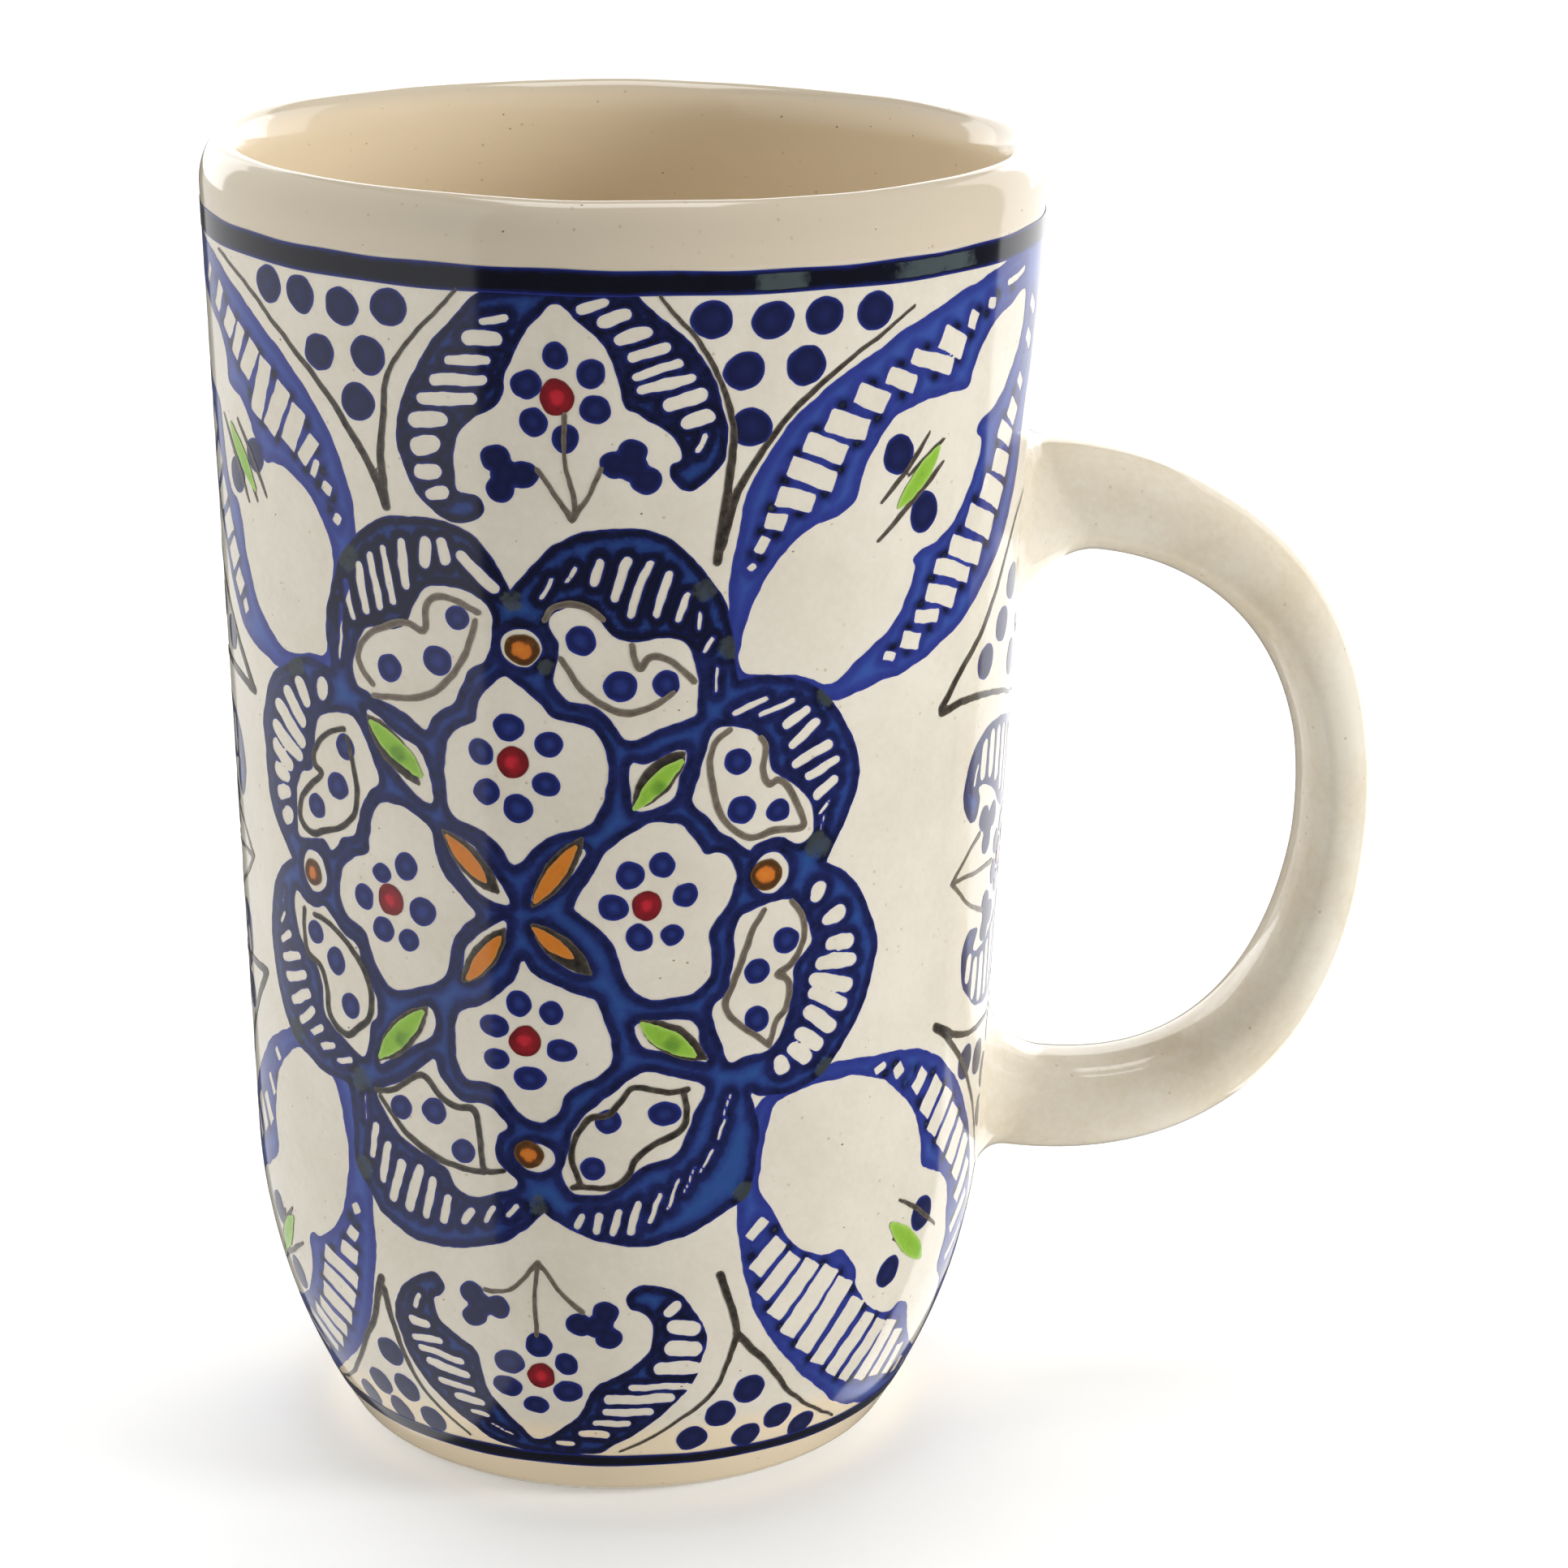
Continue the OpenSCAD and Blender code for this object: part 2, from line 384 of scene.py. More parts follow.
    def clay_section(self) -> np.ndarray:
        """Closed outline of the bare clay under the glaze, from the axis round to the axis."""
        ring_out = self.foot_edge_centre[0]
        ring_in = ring_out - self.foot_ring_w
        under = np.array([[0, self.foot_recess], [ring_in * 0.6, self.foot_recess],
                          [ring_in - self.foot_chamfer, self.foot_recess], [ring_in, 0]])
        foot = self.arc(self.foot_edge_centre, self.foot_edge_r, -math.pi / 2, self.dry_angle, 5)
        wall = self.outside(self.glaze, self.dry_angle, 1)
        return np.vstack([under, foot, wall, self.inside(self.glaze, 1)[1:]])

    def glaze_section(self) -> np.ndarray:
        """Closed outline of the glaze coat: out over the lip to the floor, and back against the clay."""
        skin = np.vstack([self.outside(0.0, self.dry_angle), self.inside()[1:]])
        back = np.vstack([self.outside(self.glaze, self.dry_angle, 1), self.inside(self.glaze, 1)[1:]])
        return np.vstack([skin, back[::-1]])

    def radius(self, z: float) -> float:
        """Outside radius of the glazed cup at a height."""
        if z >= self.belly_z:
            return self.rim_r - (self.flank_top - z) * self.flank_lean
        return self.belly_centre[0] + math.sqrt(self.belly_r ** 2 - (self.belly_centre[1] - z) ** 2)


def outline_curve(name: str, section: np.ndarray) -> bpy.types.Object:
    """Makes a curve object that a geometry tree can follow.

    Args:
        name: The curve's name.
        section: Radius and height of each point, in millimetres.

    Returns:
        The curve, with radius along X and height along Z.
    """
    curve = bpy.data.curves.new(name, "CURVE")
    curve.dimensions = "3D"
    line = curve.splines.new("POLY")
    line.points.add(len(section) - 1)
    flat = np.zeros((len(section), 4))
    flat[:, 0] = section[:, 0] * MM
    flat[:, 2] = section[:, 1] * MM
    line.points.foreach_set("co", flat.ravel())
    return stand(name, curve)


# ---------------------------------------------------------------- geometry trees

def new_tree(name: str, inputs: Sequence[tuple[str, str]]) -> tuple[bpy.types.NodeTree, bpy.types.Node]:
    """Starts a geometry tree.

    Args:
        name: The tree's name.
        inputs: Each input's name and socket type.

    Returns:
        The tree and its group input node.
    """
    tree = bpy.data.node_groups.new(name, "GeometryNodeTree")
    tree.interface.new_socket("Geometry", in_out="INPUT", socket_type="NodeSocketGeometry")
    for label, kind in inputs:
        tree.interface.new_socket(label, in_out="INPUT", socket_type=kind)
    tree.interface.new_socket("Geometry", in_out="OUTPUT", socket_type="NodeSocketGeometry")
    return tree, add_node(tree, "NodeGroupInput")


def end_tree(tree: bpy.types.NodeTree, shape: Socket, finish: Socket) -> None:
    """Ends a geometry tree in real geometry with its finish on it."""
    real = add_node(tree, "GeometryNodeRealizeInstances", None, {"Geometry": shape})
    dressed = add_node(tree, "GeometryNodeSetMaterial", None, {
        "Geometry": real.outputs[0], "Material": finish})
    add_node(tree, "NodeGroupOutput", None, {"Geometry": dressed.outputs[0]})


def math_node(tree: bpy.types.NodeTree, work: str, *values: Socket | float) -> Socket:
    """Adds a sum, product or other piece of arithmetic and returns its result."""
    return add_node(tree, "ShaderNodeMath", {"operation": work}, dict(enumerate(values))).outputs[0]


def around_axis(tree: bpy.types.NodeTree, r: Socket, turn: Socket, z: Socket) -> Socket:
    """Places points by radius, angle and height.

    Args:
        tree: The geometry tree.
        r: Distance from the axis.
        turn: Angle about the axis.
        z: Height.

    Returns:
        The position.
    """
    x = math_node(tree, "MULTIPLY", r, math_node(tree, "COSINE", turn))
    y = math_node(tree, "MULTIPLY", r, math_node(tree, "SINE", turn))
    return add_node(tree, "ShaderNodeCombineXYZ", None, {"X": x, "Y": y, "Z": z}).outputs[0]


def throwing_tree() -> bpy.types.NodeTree:
    """Builds the tree that turns an outline on the wheel, with the slight waver of a hand-finished lip.

    Returns:
        The tree. Its inputs are the outline, its number of points, the number of sides, the waver,
        the heights between which the waver sets in, and the finish.
    """
    tree, given = new_tree("throw_on_the_wheel", [
        ("Outline", "NodeSocketObject"), ("Rings", "NodeSocketInt"), ("Sides", "NodeSocketInt"),
        ("Waver", "NodeSocketFloat"), ("Waver from", "NodeSocketFloat"), ("Waver to", "NodeSocketFloat"),
        ("Finish", "NodeSocketMaterial")])
    source = add_node(tree, "GeometryNodeObjectInfo", None, {"Object": given.outputs["Outline"]})
    columns = math_node(tree, "ADD", given.outputs["Sides"], 1.0)
    sheet = add_node(tree, "GeometryNodeMeshGrid", None, {
        "Size X": 1.0, "Size Y": 1.0, "Vertices X": columns, "Vertices Y": given.outputs["Rings"]})
    number = add_node(tree, "GeometryNodeInputIndex").outputs[0]
    ring = math_node(tree, "MODULO", number, given.outputs["Rings"])
    column = math_node(tree, "FLOOR", math_node(tree, "DIVIDE", math_node(tree, "ADD", number, 0.5),
                                                given.outputs["Rings"]))
    turn = math_node(tree, "DIVIDE", math_node(tree, "MULTIPLY", column, 2 * math.pi), given.outputs["Sides"])
    place = add_node(tree, "GeometryNodeInputPosition").outputs[0]
    at_ring = add_node(tree, "GeometryNodeSampleIndex", {"data_type": "FLOAT_VECTOR", "domain": "POINT"}, {
        "Geometry": source.outputs["Geometry"], "Value": place, "Index": ring}).outputs[0]
    section = add_node(tree, "ShaderNodeSeparateXYZ", None, {0: at_ring})
    raw = around_axis(tree, section.outputs["X"], turn, section.outputs["Z"])
    circle = add_node(tree, "ShaderNodeCombineXYZ", None, {
        "X": math_node(tree, "COSINE", turn), "Y": math_node(tree, "SINE", turn)}).outputs[0]
    drift = add_node(tree, "ShaderNodeTexNoise", {"noise_dimensions": "3D"}, {
        "Vector": circle, "Scale": 1.6, "Detail": 1.5, "Roughness": 0.45})
    set_in = ease(tree, section.outputs["Z"], given.outputs["Waver from"], given.outputs["Waver to"])
    swing = math_node(tree, "MULTIPLY", math_node(tree, "SUBTRACT", drift.outputs[0], 0.5),
                      math_node(tree, "MULTIPLY", set_in, given.outputs["Waver"]))
    outward = add_node(tree, "ShaderNodeVectorMath", {"operation": "SCALE"}, {
        0: circle, "Scale": math_node(tree, "MULTIPLY", swing, 0.6)}).outputs[0]
    upward = add_node(tree, "ShaderNodeCombineXYZ", None, {"Z": swing}).outputs[0]
    move = add_node(tree, "ShaderNodeVectorMath", {"operation": "ADD"}, {0: outward, 1: upward}).outputs[0]
    thrown = add_node(tree, "GeometryNodeSetPosition", None, {
        "Geometry": sheet.outputs["Mesh"], "Position": raw, "Offset": move})
    closed = add_node(tree, "GeometryNodeMergeByDistance", None, {
        "Geometry": thrown.outputs[0], "Distance": 0.002 * MM})
    smooth = add_node(tree, "GeometryNodeSetShadeSmooth", None, {"Geometry": closed.outputs[0]})
    end_tree(tree, smooth.outputs[0], given.outputs["Finish"])
    return tree


def wrapping_tree() -> bpy.types.NodeTree:
    """Builds the tree that lays flat brushwork round the cup.

    Returns:
        The tree. Its inputs are the cup's outline, the radius at which x is true, the angle of x = 0,
        how far the paint stands off the surface, and the finish.
    """
    tree, given = new_tree("wrap_round_the_cup", [
        ("Outline", "NodeSocketObject"), ("Reference radius", "NodeSocketFloat"),
        ("Start angle", "NodeSocketFloat"), ("Stand off", "NodeSocketFloat"),
        ("Finish", "NodeSocketMaterial")])
    source = add_node(tree, "GeometryNodeObjectInfo", None, {"Object": given.outputs["Outline"]})
    flat = add_node(tree, "ShaderNodeSeparateXYZ", None, {
        0: add_node(tree, "GeometryNodeInputPosition").outputs[0]})
    along = add_node(tree, "GeometryNodeSampleCurve", {"mode": "LENGTH", "use_all_curves": True}, {
        "Curves": source.outputs["Geometry"], "Length": flat.outputs["Y"]})
    place = add_node(tree, "ShaderNodeSeparateXYZ", None, {0: along.outputs["Position"]})
    lean = add_node(tree, "ShaderNodeSeparateXYZ", None, {0: along.outputs["Tangent"]})
    lift = math_node(tree, "ADD", given.outputs["Stand off"], flat.outputs["Z"])
    r = math_node(tree, "ADD", place.outputs["X"], math_node(tree, "MULTIPLY", lean.outputs["Z"], lift))
    z = math_node(tree, "SUBTRACT", place.outputs["Z"], math_node(tree, "MULTIPLY", lean.outputs["X"], lift))
    turn = math_node(tree, "ADD", given.outputs["Start angle"],
                     math_node(tree, "DIVIDE", flat.outputs["X"], given.outputs["Reference radius"]))
    laid = add_node(tree, "GeometryNodeSetPosition", None, {
        "Geometry": given.outputs["Geometry"], "Position": around_axis(tree, r, turn, z)})
    smooth = add_node(tree, "GeometryNodeSetShadeSmooth", None, {"Geometry": laid.outputs[0]})
    end_tree(tree, smooth.outputs[0], given.outputs["Finish"])
    return tree


def speckling_tree() -> bpy.types.NodeTree:
    """Builds the tree that scatters burnt-out iron specks over the glaze.

    Returns:
        The tree. Its inputs are the number of specks to a square metre, the smallest and the largest
        radius, the seed and the finish.
    """
    tree, given = new_tree("scatter_iron_specks", [
        ("Density", "NodeSocketFloat"), ("Smallest", "NodeSocketFloat"), ("Largest", "NodeSocketFloat"),
        ("Seed", "NodeSocketInt"), ("Finish", "NodeSocketMaterial")])
    spots = add_node(tree, "GeometryNodeDistributePointsOnFaces", {"distribute_method": "RANDOM"}, {
        "Mesh": given.outputs["Geometry"], "Density": given.outputs["Density"],
        "Seed": given.outputs["Seed"]})
    speck = add_node(tree, "GeometryNodeMeshIcoSphere", None, {"Radius": 1.0, "Subdivisions": 2})
    flat = add_node(tree, "GeometryNodeTransform", None, {
        "Geometry": speck.outputs["Mesh"], "Scale": (1.0, 0.72, 0.16)})
    size = add_node(tree, "FunctionNodeRandomValue", {"data_type": "FLOAT"}, {
        "Min": given.outputs["Smallest"], "Max": given.outputs["Largest"], "Seed": given.outputs["Seed"]})
    sown = add_node(tree, "GeometryNodeInstanceOnPoints", None, {
        "Points": spots.outputs["Points"], "Instance": flat.outputs[0], "Rotation": spots.outputs["Rotation"],
        "Scale": size.outputs["Value"]})
    end_tree(tree, sown.outputs[0], given.outputs["Finish"])
    return tree


# ---------------------------------------------------------------- finishes

@dataclass(frozen=True)
class StonewareGlaze:
    """Clear glossy glaze, dipped and fired over pale speckled stoneware.

    The clay shows through as a warm cream, mottled where the coat pools, with fine iron specks, and the
    melted surface gives sharp, slightly rippled reflections.
    """

    name: str = "clear_glaze_on_stoneware"
    thin: str = "e4ddce"
    pooled: str = "d9d1c0"
    inside: str = "efdec0"
    # painted shade for the lip, also mixed in lightly towards the foot
    lip_shade_colour: str = "d3c6b0"
    speck: str = "a8845c"
    mottle: float = 14.0
    grain: float = 0.9
    speck_gap: float = 1.5
    speck_reach: tuple[float, float] = (0.05, 0.16)
    speck_chance: float = 0.38
    speck_strength: float = 0.55
    ripple: float = 9.0
    roughness: float = 0.09
    mid_wall_r: float = 42.1
    flank_lean: float = 0.0382
    flank_top: float = 138.5
    # the lip's painted shade sets in above the first height; the glaze darkens a little below the second
    lip_shade_from: float = 136.4
    foot_darkening_below: float = 7.0
    foot_darkening_share: float = 0.1

    def with_shaded_lip_and_dark_foot(self, tree: bpy.types.NodeTree, z: Socket, body: Socket) -> Socket:
        """Paints shade into the glaze's colour at the lip, and darkens it a little towards the foot.

        Args:
            tree: The material's tree.
            z: The height of a point.
            body: The glaze's colour elsewhere.

        Returns:
            The colour with the painted lip shade and the darker foot in it.
        """
        lip = ease(tree, z, (self.lip_shade_from - 0.5) * MM, (self.lip_shade_from + 0.7) * MM)
        foot = ease(tree, z, (self.foot_darkening_below - 1.5) * MM, (self.foot_darkening_below + 0.5) * MM,
                    (self.foot_darkening_share, 0.0))
        # painted shade over the lip, and a slight darkening towards the foot
        return blend(tree, math_node(tree, "MAXIMUM", lip, foot), body, self.lip_shade_colour)

    def inward(self, tree: bpy.types.NodeTree, place: bpy.types.Node) -> Socket:
        """Tells the lining of the cup from its outside.

        Args:
            tree: The material's tree.
            place: The node that gives a point's x, y and z.

        Returns:
            1 on the lining and 0 on the outside.
        """
        r = math_node(tree, "SQRT", math_node(tree, "ADD", *(
            math_node(tree, "MULTIPLY", place.outputs[axis], place.outputs[axis]) for axis in "XY")))
        mid = math_node(tree, "ADD", (self.mid_wall_r - self.flank_top * self.flank_lean) * MM,
                        math_node(tree, "MULTIPLY", place.outputs["Z"], self.flank_lean))
        return ease(tree, math_node(tree, "SUBTRACT", mid, r), 1.2 * MM, 2.4 * MM)

    def specks(self, tree: bpy.types.NodeTree, spot: Socket) -> Socket:
        """Lets iron grains show faintly through the coat.

        Args:
            tree: The material's tree.
            spot: The place of a point.

        Returns:
            How strongly a grain shows there, which differs from one grain to the next.
        """
        cells = add_node(tree, "ShaderNodeTexVoronoi", None, {
            "Vector": spot, "Scale": pattern(self.speck_gap), "Randomness": 1.0})
        near = ease(tree, cells.outputs["Distance"], *self.speck_reach, (1.0, 0.0), False)
        chance = add_node(tree, "ShaderNodeSeparateXYZ", None, {0: cells.outputs["Color"]})
        some = math_node(tree, "GREATER_THAN", chance.outputs["X"], 1 - self.speck_chance)
        return math_node(tree, "MULTIPLY", math_node(tree, "MULTIPLY", near, some),
                         math_node(tree, "MULTIPLY", chance.outputs["Y"], self.speck_strength))

    def material(self) -> bpy.types.Material:
        """Builds the glaze's material from its colours and pattern sizes."""
        made, tree, shader, spot = new_finish(self.name)
        cloud = noise(tree, spot, self.mottle, 4.0, 0.6)
        grain = noise(tree, spot, self.grain, 3.0, 0.7)
        even = math_node(tree, "ADD", math_node(tree, "MULTIPLY", cloud, 0.7),
                         math_node(tree, "MULTIPLY", grain, 0.3))
        body = colour_steps(tree, even, [(0.36, self.pooled), (0.62, self.thin)])
        place = add_node(tree, "ShaderNodeSeparateXYZ", None, {0: spot})
        # painted shade on the lip and a slightly darker foot
        coat = self.with_shaded_lip_and_dark_foot(tree, place.outputs["Z"], body)
        lined = blend(tree, self.inward(tree, place), coat, self.inside)
        colour = blend(tree, self.specks(tree, spot), lined, self.speck)
        bump = add_node(tree, "ShaderNodeBump", None, {
            "Strength": 0.35, "Distance": 0.06 * MM, "Height": noise(tree, spot, self.ripple, 1.0)})
        tree.links.new(colour, shader.inputs["Base Color"])
        tree.links.new(bump.outputs[0], shader.inputs["Normal"])
        shader.inputs["Roughness"].default_value = self.roughness
        shader.inputs["IOR"].default_value = GLAZE_IOR
        return made


@dataclass(frozen=True)
class BareClay:
    """Stoneware fired bare where the glaze was wiped off the foot: dry, sandy and warm."""

    name: str = "bare_stoneware"
    light: str = "e9e3d8"
    dark: str = "d8cebc"
    grit: float = 0.6

    def material(self) -> bpy.types.Material:
        """Builds the clay's material."""
        made, tree, shader, spot = new_finish(self.name)
        sand = noise(tree, spot, self.grit, 4.0, 0.75)
        bump = add_node(tree, "ShaderNodeBump", None, {
            "Strength": 0.6, "Distance": 0.08 * MM, "Height": sand})
        tree.links.new(colour_steps(tree, sand, [(0.35, self.dark), (0.6, self.light)]),
                       shader.inputs["Base Color"])
        tree.links.new(bump.outputs[0], shader.inputs["Normal"])
        shader.inputs["Roughness"].default_value = 0.85
        shader.inputs["IOR"].default_value = GLAZE_IOR
        return made


@dataclass(frozen=True)
class Pigment:
    """Ceramic pigment brushed on the clay and fired under the glaze.

    Its edge bleeds into the glaze, it lies darkest just inside that edge where the brush left it thick,
    and a wide stroke thins to a lighter wash in the middle.
    """

    name: str
    wash: Sequence[tuple[float, str]]
    full: Sequence[tuple[float, str]]
    crust: str = "3d4646"
    reach: float = 2.0
    mottle: float = 1.3
    roughness: float = 0.1

    def material(self) -> bpy.types.Material:
        """Builds the pigment's material, which follows each stroke's own edge and load."""
        made, tree, shader, spot = new_finish(self.name)
        edge, load, crust = (add_node(tree, "ShaderNodeAttribute", {"attribute_name": name}).outputs["Fac"]
                             for name in ("edge", "load", "crust"))
        sway = math_node(tree, "SUBTRACT", noise(tree, spot, self.mottle, 5.0, 0.65), 0.5)
        depth = math_node(tree, "DIVIDE", math_node(tree, "ADD", edge, math_node(
            tree, "MULTIPLY", sway, math_node(tree, "MULTIPLY", edge, 1.4))), self.reach)
        weight = math_node(tree, "ADD", load, math_node(tree, "MULTIPLY", sway, 0.9))
        weight = add_node(tree, "ShaderNodeClamp", None, {"Value": weight}).outputs[0]
        colour = blend(tree, weight, colour_steps(tree, depth, self.wash),
                       colour_steps(tree, depth, self.full))
        dry = ease(tree, math_node(tree, "ADD", crust, sway), 0.45, 0.75, smooth=False)
        crusted = blend(tree, math_node(tree, "MULTIPLY", dry, 0.8), colour, self.crust)
        tree.links.new(crusted, shader.inputs["Base Color"])
        tree.links.new(ease(tree, dry, 0.0, 1.0, (self.roughness, 0.42), False), shader.inputs["Roughness"])
        shader.inputs["IOR"].default_value = GLAZE_IOR
        return made


class Paint(Enum):
    """The painter's pots, each with how its colour runs from the stroke's edge to its middle."""

    COBALT = Pigment(
        "cobalt_underglaze",
        wash=[(0.0, "3a469c"), (0.1, "2c3788"), (0.35, "2f3d8c"), (0.8, "39529f")],
        full=[(0.0, "2a3488"), (0.07, "161c4c"), (0.16, "0d1024"), (0.42, "10153a"), (0.6, "1f3570"),
              (1.0, "274a86")])
    COBALT_BAND = Pigment(
        "banding_cobalt",
        wash=[(0.0, "2c3a94"), (0.12, "171f58"), (0.3, "0d1022")],
        full=[(0.0, "28348a"), (0.1, "12184a"), (0.25, "0a0c18")], crust="4a5658", mottle=2.2)
    DARK_COBALT = Pigment(
        "strong_cobalt_underglaze",
        wash=[(0.0, "303d98"), (0.1, "1c2566"), (0.28, "1a2258"), (0.6, "2b3c86")],
        full=[(0.0, "2c388c"), (0.1, "1a2158"), (0.28, "151a40"), (0.9, "1a2150")])
    INK = Pigment(
        "manganese_outline",
        wash=[(0.0, "857a6c"), (0.15, "6b6055"), (0.5, "544b44")],
        full=[(0.0, "4a443e"), (0.1, "26221f"), (0.4, "161413")], mottle=0.9)
    RED = Pigment(
        "selenium_red_underglaze",
        wash=[(0.0, "8a2a2c"), (0.22, "c0202c"), (0.8, "c8323a")],
        full=[(0.0, "6e1c20"), (0.1, "2a1418"), (0.4, "35131a"), (0.56, "b01f30"), (0.9, "c02a38")])
    ORANGE = Pigment(
        "iron_orange_underglaze",
        wash=[(0.0, "c8823a"), (0.2, "d07a28"), (0.8, "cf7c2c")],
        full=[(0.0, "6a4a26"), (0.14, "4a3118"), (0.34, "5a3517"), (0.46, "c8702a"), (0.9, "d8802c")])
    GREEN = Pigment(
        "copper_green_underglaze",
        wash=[(0.0, "a4c860"), (0.2, "8dba40"), (0.8, "86b23a")],
        full=[(0.0, "5c8a30"), (0.3, "4e7c2c"), (0.8, "3f6a28")])


# ---------------------------------------------------------------- brushwork on the flat

def rounded(points: Path, closed: bool, per_span: int = 4) -> np.ndarray:
    """Runs a smooth line through given points.

    Args:
        points: The points.
        closed: Whether the line comes back to its start.
        per_span: Straight steps between one point and the next.

    Returns:
        One row of x and s for each point of the line.
    """
    p = np.asarray(points, float)
    if closed:
        p = np.vstack([p[-1], p, p[:2]])
    else:
        p = np.vstack([2 * p[0] - p[1], p, 2 * p[-1] - p[-2]])
    t = np.arange(per_span)[:, None] / per_span
    spans = []
    for a, b, c, d in zip(p[:-3], p[1:-2], p[2:-1], p[3:]):
        spans.append(0.5 * (2 * b + (c - a) * t + (2 * a - 5 * b + 4 * c - d) * t ** 2
                            + (3 * b - a - 3 * c + d) * t ** 3))
    line = np.vstack(spans)
    return line if closed else np.vstack([line, p[-2]])


class Sheet:
    """A flat sheet on which brushwork lies as the distance to its nearest edge, positive in the paint."""

    FAR = 6.0
    CREST = 3.0

    def __init__(self, x_span: Point, s_span: Point, step: float, waver: float, seed: int) -> None:
        """Stretches an empty sheet.

        Args:
            x_span: Its ends round the cup.
            s_span: Its ends up the cup.
            step: Distance between the points at which the paint is known.
            waver: How far a hand-held brush strays.
            seed: Fixes the waver.
        """
        self.xs = np.arange(x_span[0], x_span[1] + step / 2, step)
        self.ss = np.arange(s_span[0], s_span[1] + step / 2, step)
        self.step = step
        x, s = np.meshgrid(self.xs, self.ss)
        rng = np.random.default_rng(seed)
        self.x = x + self._drift(x, s, rng, waver)
        self.s = s + self._drift(x, s, rng, waver)
        self.paint = np.full(x.shape, -self.FAR)
        self.load = np.zeros(x.shape)
        self.crust = np.zeros(x.shape)

    @staticmethod
    def _drift(x: np.ndarray, s: np.ndarray, rng: np.random.Generator, reach: float) -> np.ndarray:
        """Smooth unevenness made of a few long waves and many short faint ones."""
        total = np.zeros(x.shape)
        for length, share in ((11.0, 0.5), (7.0, 0.5), (4.5, 0.45), (2.6, 0.3), (1.5, 0.2), (0.9, 0.12)):
            for _ in range(2):
                turn, phase = rng.uniform(0, 2 * math.pi, 2)
                wave = (x * math.cos(turn) + s * math.sin(turn)) * 2 * math.pi / length
                total += share * np.sin(wave + phase)
        return total * reach / 1.6

    def _window(self, points: np.ndarray, margin: float) -> tuple[slice, slice]:
        """Rows and columns of the sheet near some points."""
        low = points.min(0) - margin
        high = points.max(0) + margin
        rows = slice(*np.searchsorted(self.ss, [low[1], high[1]]))
        columns = slice(*np.searchsorted(self.xs, [low[0], high[0]]))
        return rows, columns

    def loop(self, line: np.ndarray) -> tuple[tuple[slice, slice], np.ndarray]:
        """Distance into a closed outline.

        Args:
            line: The outline's points.

        Returns:
            The window that it touches, and the distance there, positive inside.
        """
        window = self._window(line, self.CREST)
        x, s = self.x[window], self.s[window]
        nearest = np.full(x.shape, np.inf)
        inside = np.zeros(x.shape, bool)
        for (ax, as_), (bx, bs) in zip(line, np.roll(line, -1, axis=0)):
            dx, ds = bx - ax, bs - as_
            t = np.clip(((x - ax) * dx + (s - as_) * ds) / max(dx * dx + ds * ds, 1e-9), 0, 1)
            nearest = np.minimum(nearest, (x - ax - t * dx) ** 2 + (s - as_ - t * ds) ** 2)
            if ds:
                inside ^= ((as_ > s) != (bs > s)) & (x < (s - as_) * dx / ds + ax)
        return window, np.where(inside, 1, -1) * np.sqrt(nearest)

    def stroke(self, line: np.ndarray, widths: Sequence[float]) -> tuple[tuple[slice, slice], np.ndarray]:
        """Distance into a brush stroke.

        Args:
            line: Points along the stroke's middle.
            widths: Widths spread evenly from its start to its end.

        Returns:
            The window that it touches, and the distance there, positive inside.
        """
        window = self._window(line, self.CREST)
        x, s = self.x[window], self.s[window]
        half = np.interp(np.linspace(0, 1, len(line)), np.linspace(0, 1, len(widths)), widths) / 2
        best = np.full(x.shape, -self.FAR)
        for k in range(len(line) - 1):
            (ax, as_), (bx, bs) = line[k], line[k + 1]
            dx, ds = bx - ax, bs - as_
            t = np.clip(((x - ax) * dx + (s - as_) * ds) / max(dx * dx + ds * ds, 1e-9), 0, 1)
            away = np.hypot(x - ax - t * dx, s - as_ - t * ds)
            best = np.maximum(best, half[k] + (half[k + 1] - half[k]) * t - away)
        return window, best

    def blot(self, x: float, s: float, rx: float, rs: float) -> tuple[tuple[slice, slice], np.ndarray]:
        """Distance into a round or oval touch of the brush, positive inside."""
        window = self._window(np.array([[x - rx, s - rs], [x + rx, s + rs]]), self.CREST)
        away = np.hypot((self.x[window] - x) / rx, (self.s[window] - s) / rs)
        return window, (1 - away) * min(rx, rs)

    def lay(self, mark: tuple[tuple[slice, slice], np.ndarray], load: float) -> None:
        """Lays paint, heavy or thin, where a mark is."""
        window, depth = mark
        self.load[window] = np.where(depth > np.maximum(self.paint[window], -0.4), load, self.load[window])
        self.paint[window] = np.maximum(self.paint[window], depth)

    def leave(self, mark: tuple[tuple[slice, slice], np.ndarray]) -> None:
        """Leaves the clay bare where a mark is."""
        window, depth = mark
        self.paint[window] = np.minimum(self.paint[window], -depth)

    def weigh(self, x: float, s: float, r: float, load: float, crust: float = 0.0) -> None:
        """Makes paint that is already laid heavier, lighter or crusted round a point."""
        window, depth = self.blot(x, s, r, r)
        share = np.clip(depth / (0.6 * r), 0, 1)
        share = share * share * (3 - 2 * share)
        self.load[window] += (load - self.load[window]) * share
        self.crust[window] = np.maximum(self.crust[window], crust * share)

